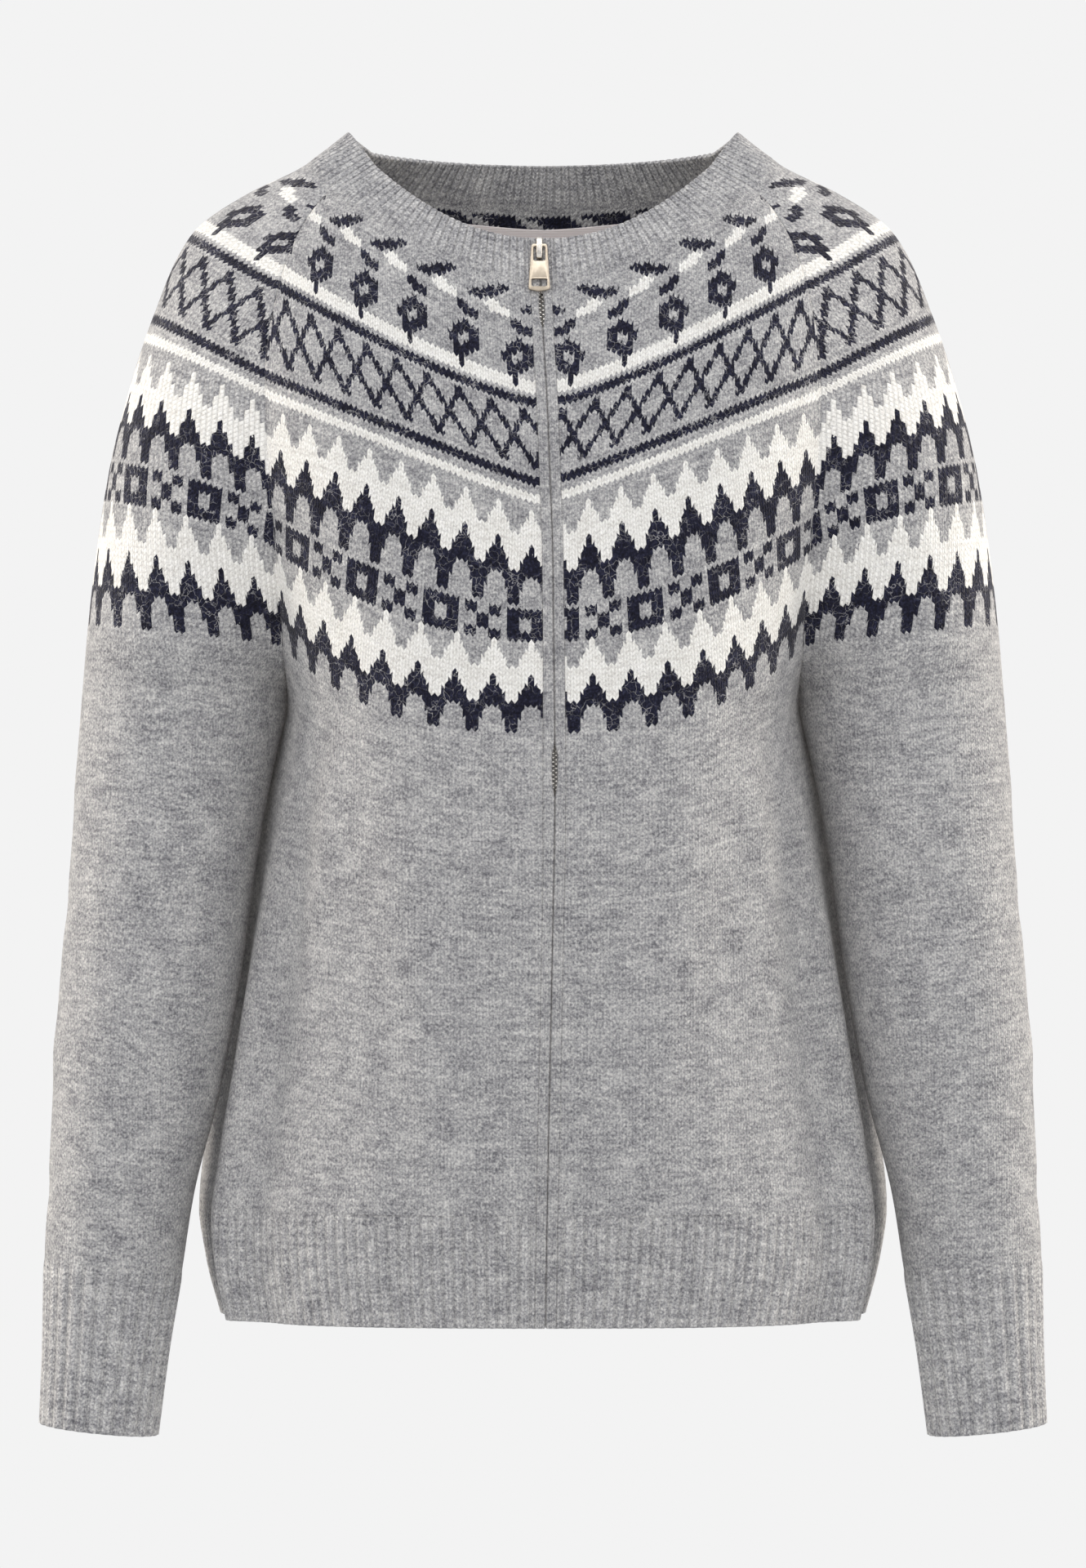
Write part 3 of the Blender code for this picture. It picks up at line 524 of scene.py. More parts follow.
CENTRES = {
    "front": make_curves(CENTRE_FRONT, CENTRE_COLUMNS),
    "back": make_curves(CENTRE_BACK, CENTRE_COLUMNS),
}
SEAMS = {
    "front": make_curves(FRONT_RAGLAN + SIDE_SEAM, SEAM_COLUMNS),
    "back": make_curves(BACK_RAGLAN + SIDE_SEAM, SEAM_COLUMNS),
}
OUTER = make_curves(OUTER_ARM, OUTER_COLUMNS)
INNER = make_curves(INNER_ARM, INNER_COLUMNS)
ZIP = make_curves(ZIP_LINE, ZIP_COLUMNS)


def lap_shift(face, level):
    """Half the distance between the two walls where they lie face to face."""
    lap = read(SEAMS[face], "lap", min(level, UNDERARM))
    fade = min(max(1 - (level - UNDERARM) / LAP_FADE, 0.0), 1.0)
    return 0.5 * lap * fade * (CLOTH_WALL - SEAM_OVERLAP)


def swept(start, start_turn, end, end_turn, fullness):
    """Plan points of a smooth arc from start to end, turning as the angles say."""
    t = np.linspace(0.0, 1.0, ARC_STEPS + 1)
    reach = fullness * math.dist(start, end)
    leave = t * (1 - t) ** 2 * reach
    arrive = t * t * (t - 1) * reach
    from_end = t * t * (3 - 2 * t)
    plan = []
    for axis, part in ((0, math.cos), (1, math.sin)):
        straight = (1 - from_end) * start[axis] + from_end * end[axis]
        turning = leave * part(math.radians(start_turn)) + arrive * part(math.radians(end_turn))
        plan.append(straight + turning)
    return plan


def body_arc(face, level):
    """Half a course of the body, from the centre out to the seam, on the +X side."""
    centre = CENTRES[face]
    seam = SEAMS[face]
    to_back = TO_BACK[face]
    seam_x = read(seam, "x", level) - lap_shift(face, level)
    middle = (0.0, read(centre, "y", level) * to_back)
    end = (seam_x, read(seam, "y", level) * to_back)
    x, y = swept(middle, 0.0, end, read(seam, "body_turn", level), read(centre, "fullness", level))
    share = np.clip(x / seam_x, 0.0, 1.0) ** read(centre, "bow", level)
    middle_z = read(centre, "z", level)
    z = middle_z + (read(seam, "z", level) - middle_z) * share
    points = np.stack([x, y * to_back, z], 1)
    return with_folds(points, level) if face == "front" else points


def with_folds(points, level):
    """Lifts the side folds of a front out of its course, and brings its side edge forward."""
    share = np.linspace(0.0, 1.0, len(points))

    def fold(place, width, height, starts, full):
        strength = min(max((level - starts) / (full - starts), 0.0), 1.0)
        return height * strength * np.exp(-(((share - place) / width) ** 2))

    lift = sum(fold(*row) for row in SIDE_FOLDS)
    course = unit(np.gradient(points[:, :2], axis=0))
    points[:, 0] += lift * course[:, 1]
    points[:, 1] -= lift * course[:, 0]
    points[:, 1] -= fold(*SIDE_EDGE)
    return points


def sleeve_arc(face, level):
    """Half a course of the sleeve, from its seam to the outside of the arm, at +X."""
    to_back = TO_BACK[face]
    upper = level <= UNDERARM
    curves = SEAMS[face] if upper else INNER
    start = [read(curves, name, level) for name in ("x", "y", "z")]
    start[0] += lap_shift(face, level)
    turn = read(curves, "arm_turn", level) if upper else INTO_ARM
    out = [read(OUTER, name, level) for name in ("x", "y", "z")]
    near = (start[0], start[1] * to_back)
    far = (out[0], out[1] * to_back)
    x, y = swept(near, turn, far, ROUND_ARM, read(OUTER, "fullness", level))
    share = np.clip((x - near[0]) / (far[0] - near[0]), 0.0, 1.0) ** read(OUTER, "bow", level)
    z = start[2] + (out[2] - start[2]) * share
    return np.stack([x, y * to_back, z], 1)


def from_edge(points, edge_x):
    """The part of a front's course that lies beyond its centre edge."""
    share = np.interp(edge_x, points[:, 0], np.arange(len(points)))
    first = int(share)
    lead = points[first] + (points[first + 1] - points[first]) * (share - first)
    return np.vstack([lead, points[first + 1 :]])


def body_point(face, level, x):
    """A point of the middle of the cloth, x from the middle plane."""
    arc = body_arc(face, level)
    y = np.interp(abs(x), arc[:, 0], arc[:, 1])
    z = np.interp(abs(x), arc[:, 0], arc[:, 2])
    return np.array([x, y, z])


def body_way(face, level, x):
    """Out of the cloth at body_point, and down along the cloth there."""
    across = body_point(face, level, x + 1.0) - body_point(face, level, x - 1.0)
    down = body_point(face, level + SLOPE_STEP, x) - body_point(face, level - SLOPE_STEP, x)
    out = np.cross(down, across) * TO_BACK[face]
    return unit(out), unit(down)


def slider_frame(out_by):
    """Stands in the slider's place: X across, -Y out of the cloth, +Z up the zip."""
    x = float(read(ZIP, "x", SLIDER_LEVEL))
    out, down = body_way("front", SLIDER_LEVEL, x)
    place = Vector(body_point("front", SLIDER_LEVEL, x) + out * out_by) * MM
    lean = math.atan2(-down[1], -down[2])
    return Matrix.Translation(place) @ Matrix.Rotation(-lean, 4, "X")


def front_edge(side, level):
    """How far from the middle plane a front's centre edge lies."""
    return PANEL_EDGE + SIDES[side] * read(ZIP, "x", level)


def front_course(side):
    """The courses of one front: from its centre edge to its seam, at any level."""
    def course(level):
        part = from_edge(body_arc("front", level), front_edge(side, level))
        return part * (SIDES[side], 1.0, 1.0)

    return course


def back_course(level):
    """A course of the back, from the right seam to the left one."""
    half = body_arc("back", level)
    return np.vstack([half[::-1] * (-1.0, 1.0, 1.0), half[1:]])


def sleeve_course(side):
    """The courses of one sleeve: from its back seam over the arm to its front seam."""
    def course(level):
        whole = np.vstack([sleeve_arc("back", level), sleeve_arc("front", level)[::-1][1:]])
        return whole * (SIDES[side], 1.0, 1.0)

    return course


def body_ring(level):
    """Right front, back and left front in one course."""
    right = front_course("right")(level)
    left = front_course("left")(level)
    return np.vstack([right, back_course(level)[1:-1], left[::-1]])


def neck_ring(level):
    """The whole course at the neck, over both shoulders."""
    right = front_course("right")(level)
    left = front_course("left")(level)
    over_right = sleeve_course("right")(level)[::-1][1:-1]
    over_left = sleeve_course("left")(level)[1:-1]
    return np.vstack([right, over_right, back_course(level), over_left, left[::-1]])


def length_of(points):
    """The length of a course."""
    return float(np.linalg.norm(np.diff(points, axis=0), axis=1).sum())


def along(points, places):
    """Points at given lengths along a course."""
    steps = np.linalg.norm(np.diff(points, axis=0), axis=1)
    lengths = np.concatenate([[0.0], np.cumsum(steps)])
    return np.stack([np.interp(places, lengths, points[:, axis]) for axis in range(3)], 1)


def lay_sheet(course, lines, places, outward, late=0.0):
    """A grid of points laid on the courses, and which way is out of the cloth at each.

    places(level) gives the lengths along the course; late moves points down the cloth.
    """
    rows, ways = [], []
    late = np.broadcast_to(late, (len(lines), len(places(lines[0]))))
    for level, line_late in zip(lines, late):
        at = places(level)
        here = course(level)
        down = along(course(level + SLOPE_STEP), at) - along(course(level - SLOPE_STEP), at)
        across = along(here, at + SLOPE_STEP) - along(here, at - SLOPE_STEP)
        rows.append(along(here, at) + unit(down) * line_late[:, None])
        ways.append(unit(np.cross(across, down)) * outward)
    return np.array(rows), np.array(ways)


def creased(table, levels, places):
    """How far each point rises out of the cloth, for the soft creases of a table."""
    rise = np.zeros(levels.shape)
    for level, place, length, width, height, turn in table:
        down, out = levels - level, places - place
        angle = math.radians(turn)
        far = down * math.cos(angle) + out * math.sin(angle)
        aside = out * math.cos(angle) - down * math.sin(angle)
        rise += height * np.exp(-((far / length) ** 2) - (aside / width) ** 2)
    return rise


def table_value(table, column, level):
    """One column of a table at a level, on straight lines between its rows."""
    rows = np.array(table)
    return float(np.interp(level, rows[:, 0], rows[:, column]))


def stitch_yarn(row, cell, shifts):
    """The yarn of one cell, from the chart. Two cells side by side are the legs of a stitch."""
    turned = cell if shifts["sign"] > 0 else -1 - cell
    for group, first_row, chart in CHARTS:
        if first_row <= row < first_row + len(chart):
            line = chart[row - first_row]
            letter = line[(turned // 2 + shifts[group]) % len(line)]
            if letter != ".":
                return YARNS[letter]
    if row in STRIPES:
        return STRIPES[row]
    first, last = LATTICE_ROWS
    if first <= row <= last:
        place = turned + 2 * shifts["lattice"]
        for slope, width in LATTICE_LINES:
            start = math.floor(LATTICE_PEAK + slope * (row - first))
            if (place - start) % LATTICE_REPEAT < width:
                return NAVY_YARN
    place = (turned + 2 * shifts["zigzag"]) % len(ZIGZAG_STARTS)
    start, end = ZIGZAG_STARTS[place], ZIGZAG_ENDS[place]
    for base in ZIGZAG_BASES:
        if start <= row - base < end:
            return WHITE_YARN if row - base < start + ZIGZAG_WHITE else NAVY_YARN
    return GREY_YARN


def floats_behind(row, cell, shifts):
    """The yarn that crosses the inside of a cell: the one that its row doesn't show here."""
    if stitch_yarn(row, cell, shifts) != GREY_YARN:
        return GREY_YARN
    steps = range(-FLOAT_REACH, FLOAT_REACH + 2, 2)
    used = {stitch_yarn(row, cell + step, shifts) for step in steps}
    return next((yarn for yarn in (NAVY_YARN, WHITE_YARN) if yarn in used), GREY_YARN)


def share_near(cells):
    """How much of each corner's surroundings has a yarn: most for the four cells it joins."""
    padded = np.pad(cells.astype(float), 2, mode="edge")
    wide = (padded[1:] + padded[:-1]) / 2.0
    wide = (wide[:, 1:] + wide[:, :-1]) / 2.0
    across = wide[:, :-2] + 2 * wide[:, 1:-1] + wide[:, 2:]
    return (across[:-2] + 2 * across[1:-1] + across[2:]) / 16.0


def make_cloth(name, points, stitches, wall, yarns=None, behind=None, taper=(1.0, 1.0)):
    """A sheet of cloth on a grid of points, with its wall, its stitch map and its yarns.

    stitches holds (stitch, row) for each point, yarns and behind the yarn of each cell on
    the right side and on the inside. taper thins the wall at the first and the last line
    of the grid, so that a free edge is round.
    """
    lines, columns = points.shape[:2]
    plain = np.zeros((lines - 1, columns - 1))
    yarns = plain if yarns is None else yarns
    behind = plain if behind is None else behind
    mesh = bmesh.new()
    stitch_map = mesh.loops.layers.uv.new("Stitches")
    shown = {"yarn": yarns, "yarn_behind": behind}
    face_layers = {key: mesh.faces.layers.float.new(key) for key in shown}
    near = {"navy_near": share_near(yarns == NAVY_YARN),
            "white_near": share_near(yarns == WHITE_YARN)}
    vertex_layers = {key: mesh.verts.layers.float.new(key) for key in near}
    weights = mesh.verts.layers.deform.new()
    bmesh.ops.create_grid(mesh, x_segments=columns - 1, y_segments=lines - 1, size=0.5)
    place = {}
    for vertex in mesh.verts:
        line = round((vertex.co.y + 0.5) * (lines - 1))
        column = round((vertex.co.x + 0.5) * (columns - 1))
        place[vertex] = (line, column)
    for face in mesh.faces:
        corners = [place[loop.vert] for loop in face.loops]
        cell = (min(corner[0] for corner in corners), min(corner[1] for corner in corners))
        for key, layer in face_layers.items():
            face[layer] = shown[key][cell]
        for loop, corner in zip(face.loops, corners):
            loop[stitch_map].uv = stitches[corner]
    for vertex, corner in place.items():
        vertex.co = points[corner] * MM
        for key, layer in vertex_layers.items():
            vertex[layer] = near[key][corner]
        vertex[weights][0] = {0: taper[0], lines - 1: taper[1]}.get(corner[0], 1.0)
    bmesh.ops.remove_doubles(mesh, verts=mesh.verts[:], dist=CLOTH_MERGE * MM)
    made = add_piece(name, mesh)
    made.vertex_groups.new(name="wall")
    shell = made.modifiers.new("Wall", "SOLIDIFY")
    shell.thickness = wall * MM
    shell.offset = 0.0
    shell.vertex_group = "wall"
    shell.material_offset = 1
    return made


def add_piece(name, mesh):
    """An object at the origin that holds a bmesh, shaded smooth."""
    data = bpy.data.meshes.new(name)
    mesh.to_mesh(data)
    mesh.free()
    data.shade_smooth()
    made = bpy.data.objects.new(name, data)
    bpy.context.scene.collection.objects.link(made)
    return made


def uneven(shape, seed):
    """A random unevenness for every inner point of a grid, from -1 to 1."""
    noise = np.random.default_rng(seed).uniform(-1.0, 1.0, shape)
    noise[0] = noise[-1] = 0.0
    noise[:, 0] = noise[:, -1] = 0.0
    return noise


def knit_panel(name, course, start, width, last_level, creases, shifts, outward, seed):
    """A shaped panel: its wales run down from the neck and end at its seams.

    start(level) is the length along the course where wale 0 lies, and width(level) is a
    stitch's. Cells past a seam shrink to nothing, which is where the wales end there.
    """
    pattern = [row * ROW for row in range(PATTERN_ROWS + 1)]
    plain = np.arange(pattern[-1] + PLAIN_STEP * ROW, last_level - ROW, PLAIN_STEP * ROW)
    ends = [SEAM_TURN, last_level - SEAM_TURN, last_level]
    lines = np.array(sorted(pattern + list(plain) + ends))
    spans = [length_of(course(level)) for level in lines]
    first = math.floor(min(-start(level) / width(level) for level in lines))
    last = math.ceil(max((span - start(level)) / width(level) for level, span in zip(lines, spans)))
    wales = np.arange(2 * first, 2 * last + 1) / 2.0

    def places(level):
        return np.clip(start(level) + wales * width(level), 0.0, length_of(course(level)))

    at = np.array([places(level) for level in lines])
    low, high = at.min(1, keepdims=True), at.max(1, keepdims=True)
    inside = np.clip(np.minimum(at - low, high - at) / EVEN_OUT, 0.0, 1.0)
    within = np.isin(lines, pattern[1:-1]).astype(float)
    middle = (np.arange(len(wales)) % 2).astype(float)
    dip = DIP * middle + UNEVEN * uneven(at.shape, seed)
    late = ROW * dip * within[:, None] * inside
    points, ways = lay_sheet(course, lines, places, outward, late)
    levels = lines[:, None] + late
    rise = creased(creases, levels, at - np.array([[start(level)] for level in lines]))
    points += ways * (rise * inside)[:, :, None]
    stitches = np.stack(np.broadcast_arrays(wales[None, :], levels / ROW), 2)
    yarns = np.zeros((len(lines) - 1, len(wales) - 1))
    behind = np.zeros_like(yarns)
    for line, level in enumerate((lines[1:] + lines[:-1]) / 2.0):
        row = int(level / ROW)
        for column in range(len(wales) - 1 if row < PATTERN_ROWS else 0):
            yarns[line, column] = stitch_yarn(row, 2 * first + column, shifts)
            behind[line, column] = floats_behind(row, 2 * first + column, shifts)
    if outward < 0:
        points, stitches = points[:, ::-1], stitches[:, ::-1]
        yarns, behind = yarns[:, ::-1], behind[:, ::-1]
    return make_cloth(name, points, stitches, CLOTH_WALL, yarns, behind)


def ribbed_band(name, course, levels, kind, outward, taper):
    """A 1 x 1 rib: its wales stand out and lie back in turn, right round the band.

    The ribs grow out of the flat knitting that the band is worked on, at the end where
    taper is 1.
    """
    ribs, height = RIBS[kind]
    share = np.linspace(0.0, 1.0, ribs * RIB_CELLS + 1)
    points, ways = lay_sheet(course, levels, lambda level: share * length_of(course(level)),
                             outward)
    worked_on = levels[0] if taper[0] == 1.0 else levels[-1]
    grown = np.clip(np.abs(np.array(levels) - worked_on) / RIB_GROWS, 0.0, 1.0)
    wave = height * np.cos(2 * math.pi * ribs * share)
    points += ways * (grown[:, None] * wave[None, :])[:, :, None]
    rows = np.array(levels)[:, None] / ROW
    stitches = np.stack(np.broadcast_arrays(2 * ribs * share[None, :] + 0.5, rows), 2)
    if outward < 0:
        points, stitches = points[:, ::-1], stitches[:, ::-1]
    return make_cloth(name, points, stitches, CLOTH_WALL, taper=taper)


def lying_strip(name, face, levels, stations, wall, outward, taper=(1.0, 1.0)):
    """A narrow strip that lies on the cloth: stations(level) gives across and depth."""
    points, stitches = [], []
    for level in levels:
        line = []
        for x, depth in stations(level):
            out, _ = body_way(face, level, x)
            line.append(body_point(face, level, x) + out * depth)
        line = np.array(line)
        reach = np.concatenate([[0.0], np.cumsum(np.linalg.norm(np.diff(line, axis=0), axis=1))])
        points.append(line)
        stitches.append([(length / STRIP_STITCH, level / ROW) for length in reach])
    points, stitches = np.array(points), np.array(stitches)
    if outward < 0:
        points, stitches = points[:, ::-1], stitches[:, ::-1]
    return make_cloth(name, points, stitches, wall, taper=taper)


def edge_levels(first, last, step, free):
    """Levels at even steps: more beside a free edge, to round it, and one beside a seam."""
    count = max(2, round((last - first) / step))
    levels = list(np.linspace(first, last, count + 1))
    near_start = FREE_EDGE_LINES if "start" in free else (SEAM_TURN,)
    near_end = FREE_EDGE_LINES[::-1] if "end" in free else (SEAM_TURN,)
    levels[1:1] = [first + away for away in near_start]
    levels[-1:-1] = [last - away for away in near_end]
    return levels


def finish_piece(made, materials, node):
    """Gives a piece of cloth its finish, outside then inside, hangs it on the garment's body and
    hides the imported part of that name.
    """
    for material in materials:
        made.data.materials.append(material)
    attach(made, "garment")
    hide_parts(node)
    return made


def make_panels(wool):
    """The five patterned panels: two fronts, two raglan sleeves and the back."""
    for number, side in enumerate(SIDES):
        def front_start(level, side=side):
            return table_value(FRONT_WALES, WALE_START, level) - front_edge(side, level)

        made = knit_panel("knit_front_" + side, front_course(side), front_start,
                          lambda level: table_value(FRONT_WALES, WALE_WIDTH, level), RIB_TOP,
                          FRONT_CREASES, FRONT_SHIFTS, -SIDES[side], number)
        finish_piece(made, wool, "front_" + side)

        def sleeve_start(level):
            outside = length_of(sleeve_arc("back", level))
            return outside + table_value(SLEEVE_WALES, WALE_START, level)

        made = knit_panel("knit_sleeve_" + side, sleeve_course(side), sleeve_start,
                          lambda level: table_value(SLEEVE_WALES, WALE_WIDTH, level), CUFF_TOP,
                          SLEEVE_CREASES, SLEEVE_SHIFTS, SIDES[side], number + 2)
        finish_piece(made, wool, "sleeve_" + side)
    made = knit_panel("knit_back", back_course,
                      lambda level: length_of(body_arc("back", level)),
                      lambda level: table_value(BACK_WALES, WALE_WIDTH, level), RIB_TOP,
                      BACK_CREASES, BACK_SHIFTS, 1.0, 4)
    finish_piece(made, wool, "back")


def make_ribs(wool):
    """The ribbed neckband, hem and cuffs."""
    levels = edge_levels(NECK_TOP, NECK_FOOT, NECK_STEP, ("start",))
    made = ribbed_band("rib_neckband", neck_ring, levels, "neckband", 1.0, (RIB_EDGE_TAPER, 1.0))
    finish_piece(made, wool, "neckband")
    levels = edge_levels(RIB_TOP, HEM, RIB_STEP, ("end",))
    made = ribbed_band("rib_hem", body_ring, levels, "hem", 1.0, (1.0, RIB_EDGE_TAPER))
    finish_piece(made, wool, "hem_rib")
    levels = edge_levels(CUFF_TOP, CUFF_END, RIB_STEP, ("end",))
    for side in SIDES:
        made = ribbed_band("rib_cuff_" + side, sleeve_course(side), levels, "cuff",
                           SIDES[side], (1.0, RIB_EDGE_TAPER))
        finish_piece(made, wool, "cuff_" + side)


def beside_zip(side, stations):
    """Stations on one side of the zip, as places across the front."""
    def at(level):
        line = read(ZIP, "x", level)
        return [(line + SIDES[side] * across, depth) for across, depth in stations(level)]

    return at


def band_stations(level):
    """The edge band's section: it gives way to the slider's bridge, and gapes at some places."""
    opened = BAND_OPENS * min(max((BAND_CLOSED - level) / (BAND_CLOSED - BAND_OPEN), 0.0), 1.0)
    for start, end in BAND_GAPS:
        far_in = min(level - start, end - level) / GAP_FADE
        opened += GAP_OPENS * min(max(far_in + 0.5, 0.0), 1.0)
    inner = BAND_STATIONS[0][0]
    outer = BAND_STATIONS[-1][0]
    return [(across + opened * (outer - across) / (outer - inner), depth)
            for across, depth in BAND_STATIONS]


def make_zip_edges(wool, tape):
    """The plain edge bands that cover the zip, and the zip's tapes behind them."""
    band = edge_levels(NECK_TOP, HEM, BAND_STEP, ("start", "end"))
    woven = edge_levels(TAPE_TOP, CHAIN_END, TAPE_STEP, ())
    for side in SIDES:
        made = lying_strip("band_edge_" + side, "front", band, beside_zip(side, band_stations),
                           BAND_WALL, -SIDES[side], (BAND_EDGE_TAPER, BAND_EDGE_TAPER))
        finish_piece(made, wool, "edge_band_" + side)
        stations = beside_zip(side, lambda level: TAPE_STATIONS)
        made = lying_strip("tape_" + side, "front", woven, stations, TAPE_WALL, -SIDES[side])
        finish_piece(made, tape, "zip_tape_" + side)


def make_label(satin):
    """The bare label, on the inside of the back."""
    half = 0.5 * LABEL_WIDTH
    places = [(x, -LABEL_DEPTH) for x in np.linspace(-half, half, LABEL_COLUMNS)]
    levels = edge_levels(*LABEL_LEVELS, LABEL_STEP, ("start", "end"))
    made = lying_strip("label_satin", "back", levels, lambda level: places, LABEL_WALL, 1.0)
    finish_piece(made, satin, "neck_label")


def zip_frame(level, depth):
    """Stands on the zip's line: X across, Y into the cloth, Z up the zip. In metres."""
    x = float(read(ZIP, "x", level))
    out, down = body_way("front", level, x)
    place = Vector(body_point("front", level, x) + out * depth) * MM
    up = -Vector(down)
    into = -Vector(out)
    across = into.cross(up)
    turned = Matrix((across, into, up)).transposed().to_4x4()
    return Matrix.Translation(place) @ turned


def make_teeth(metal):
    """Every tooth of the closed zip: two rows that hold each other, left and right in turn."""
    mesh = bmesh.new()
    across, thick, tall = TOOTH_SIZE
    count = int((CHAIN_END - CHAIN_TOP) / TOOTH_STEP)
    for number in range(2 * count):
        side = 1.0 if number % 2 else -1.0
        level = CHAIN_TOP + (number + 0.5) * 0.5 * TOOTH_STEP
        verts = bmesh.ops.create_cube(mesh, size=1.0)["verts"]
        head = [vertex for vertex in verts if vertex.co.x * side < 0]
        bmesh.ops.scale(mesh, vec=TOOTH_HEAD, verts=head)
        bmesh.ops.scale(mesh, vec=Vector((across, thick, tall)) * MM, verts=verts)
        bmesh.ops.translate(mesh, vec=Vector((side * TOOTH_ASIDE, 0.0, 0.0)) * MM, verts=verts)
        bmesh.ops.transform(mesh, matrix=zip_frame(level, CHAIN_DEPTH), verts=verts)
    bmesh.ops.recalc_face_normals(mesh, faces=mesh.faces[:])
    made = add_piece("zip_teeth", mesh)
    soften(made, TOOTH_ROUND, 1)
    finish_metal(made, metal, "garment", "zip_chain")


def soften(made, width, segments):
    """Rounds the edges of a metal piece."""
    change = made.modifiers.new("Edges", "BEVEL")
    change.width = width * MM
    change.segments = segments
    change.limit_method = "ANGLE"
    change.angle_limit = math.radians(ROUND_ANGLE)


def sharpen(made):
    """Shades the edges of a metal piece as edges."""
    made.data.set_sharp_from_angle(angle=math.radians(SHARP_ANGLE))


def finish_metal(made, metal, body, node):
    """Gives a metal piece its finish, hangs it on the body it rides on, and hides the imported part
    of that name.
    """
    made.data.materials.append(metal)
    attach(made, body)
    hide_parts(node)


def rounded(corners, radius, steps=4):
    """A closed outline whose corners are turned into arcs, which leave part of each side."""
    outline = []
    for i, corner in enumerate(corners):
        before, after = Vector(corners[i - 1]), Vector(corners[(i + 1) % len(corners)])
        corner = Vector(corner)
        reach = min(radius, 0.45 * (before - corner).length, 0.45 * (after - corner).length)
        start = corner + (before - corner).normalized() * reach
        end = corner + (after - corner).normalized() * reach
        for step in range(steps + 1):
            t = step / steps
            outline.append(start * (1 - t) ** 2 + corner * 2 * t * (1 - t) + end * t * t)
    return outline


def cut_plate(outline, cut, holes=(), segments=2):
    """A flat plate with holes, cut from sheet and tumbled so that every edge is round.

    The outline is (x, up) in the plate's plane, cut its thickness, corner radius and edge
    radius, and each hole an outline and its corner radius. Returns a mesh that lies in the
    X-Z plane, half its thickness to each side.
    """
    thick, corner, edge = cut
    curve = bpy.data.curves.new("plate", "CURVE")
    curve.dimensions = "2D"
    curve.fill_mode = "BOTH"
    curve.extrude = (0.5 * thick - edge) * MM
    curve.bevel_depth = edge * MM
    curve.bevel_resolution = segments
    curve.offset = -edge * MM
    for shape, radius in ((outline, corner), *holes):
        ring = rounded(shape, radius)
        line = curve.splines.new("POLY")
        line.points.add(len(ring) - 1)
        line.use_cyclic_u = True
        for point, (x, up) in zip(line.points, ring):
            point.co = (x * MM, up * MM, 0.0, 1.0)
    holder = bpy.data.objects.new("plate", curve)
    data = bpy.data.meshes.new_from_object(holder)
    bpy.data.objects.remove(holder)
    bpy.data.curves.remove(curve)
    mesh = bmesh.new()
    mesh.from_mesh(data)
    bpy.data.meshes.remove(data)
    bmesh.ops.remove_doubles(mesh, verts=mesh.verts[:], dist=PLATE_MERGE * MM)
    bmesh.ops.rotate(mesh, matrix=Matrix.Rotation(math.radians(90), 3, "X"), verts=mesh.verts[:])
    bmesh.ops.recalc_face_normals(mesh, faces=mesh.faces[:])
    return mesh


def add_mesh(target, source, matrix):
    """Adds one mesh to another, in its place."""
    source.transform(matrix)
    data = bpy.data.meshes.new("part")
    source.to_mesh(data)
    source.free()
    target.from_mesh(data)
    bpy.data.meshes.remove(data)


def moved_out(out):
    """Moves a plate out of the cloth, in the slider's frame."""
    return Matrix.Translation(Vector((0.0, -out, 0.0)) * MM)


def make_slider(metal):
    """Two shield-shaped plates round the teeth, the post between them and the bridge."""
    stand = slider_frame(0.0)
    mesh = bmesh.new()
    for out in PLATES_OUT:
        add_mesh(mesh, cut_plate(SHIELD, SHIELD_CUT), stand @ moved_out(out))
    add_mesh(mesh, cut_plate(POST, POST_CUT), stand @ moved_out(sum(PLATES_OUT) / 2))
    bridge = cut_plate(BRIDGE, BRIDGE_CUT, [(EYE, EYE_CORNER)], 3)
    add_mesh(mesh, bridge, stand @ Matrix.Rotation(math.radians(-90), 4, "Z"))
    made = add_piece("slider_body", mesh)
    sharpen(made)
    finish_metal(made, metal, "garment", "slider")


def make_pull(metal):
    """The pull: a tapered plate with a slot for the bridge and a framed window."""
    stand = slider_frame(PIVOT_OUT)
    window = (WINDOW, WINDOW_CORNER)
    mesh = bmesh.new()
    add_mesh(mesh, cut_plate(BLADE, BLADE_CUT, [(SLOT, SLOT_CORNER), window], 3), stand)
    for out in (RIM_OUT, -RIM_OUT):
        add_mesh(mesh, cut_plate(RIM, RIM_CUT, [window]), stand @ moved_out(out))
    made = add_piece("pull_plate", mesh)
    sharpen(made)
    finish_metal(made, metal, "pull", "pull_tab")


def make_retainer(metal):
    """The box at the zip's foot, which the loose pin goes into."""
    mesh = bmesh.new()
    verts = bmesh.ops.create_cube(mesh, size=1.0)["verts"]
    bmesh.ops.scale(mesh, vec=Vector(RETAINER_SIZE) * MM, verts=verts)
    low = [edge for edge in mesh.edges if max(v.co.z for v in edge.verts) < 0]
    bmesh.ops.bevel(mesh, geom=low, offset=RETAINER_LOW_ROUND * MM, segments=3, affect="EDGES",
                    profile=0.5, material=-1)
    bmesh.ops.transform(mesh, matrix=zip_frame(RETAINER_LEVEL, RETAINER_DEPTH),
                        verts=mesh.verts[:])
    made = add_piece("retainer_box", mesh)
    soften(made, RETAINER_ROUND, 2)
    sharpen(made)
    finish_metal(made, metal, "garment", "zip_box")


def linear(hex_colour):
    """An sRGB hex value as linear light, with an alpha of 1."""
    parts = [int(hex_colour[i : i + 2], 16) / 255.0 for i in (1, 3, 5)]
    bent = [part / 12.92 if part <= 0.04045 else ((part + 0.055) / 1.055) ** 2.4 for part in parts]
    return (*bent, 1.0)


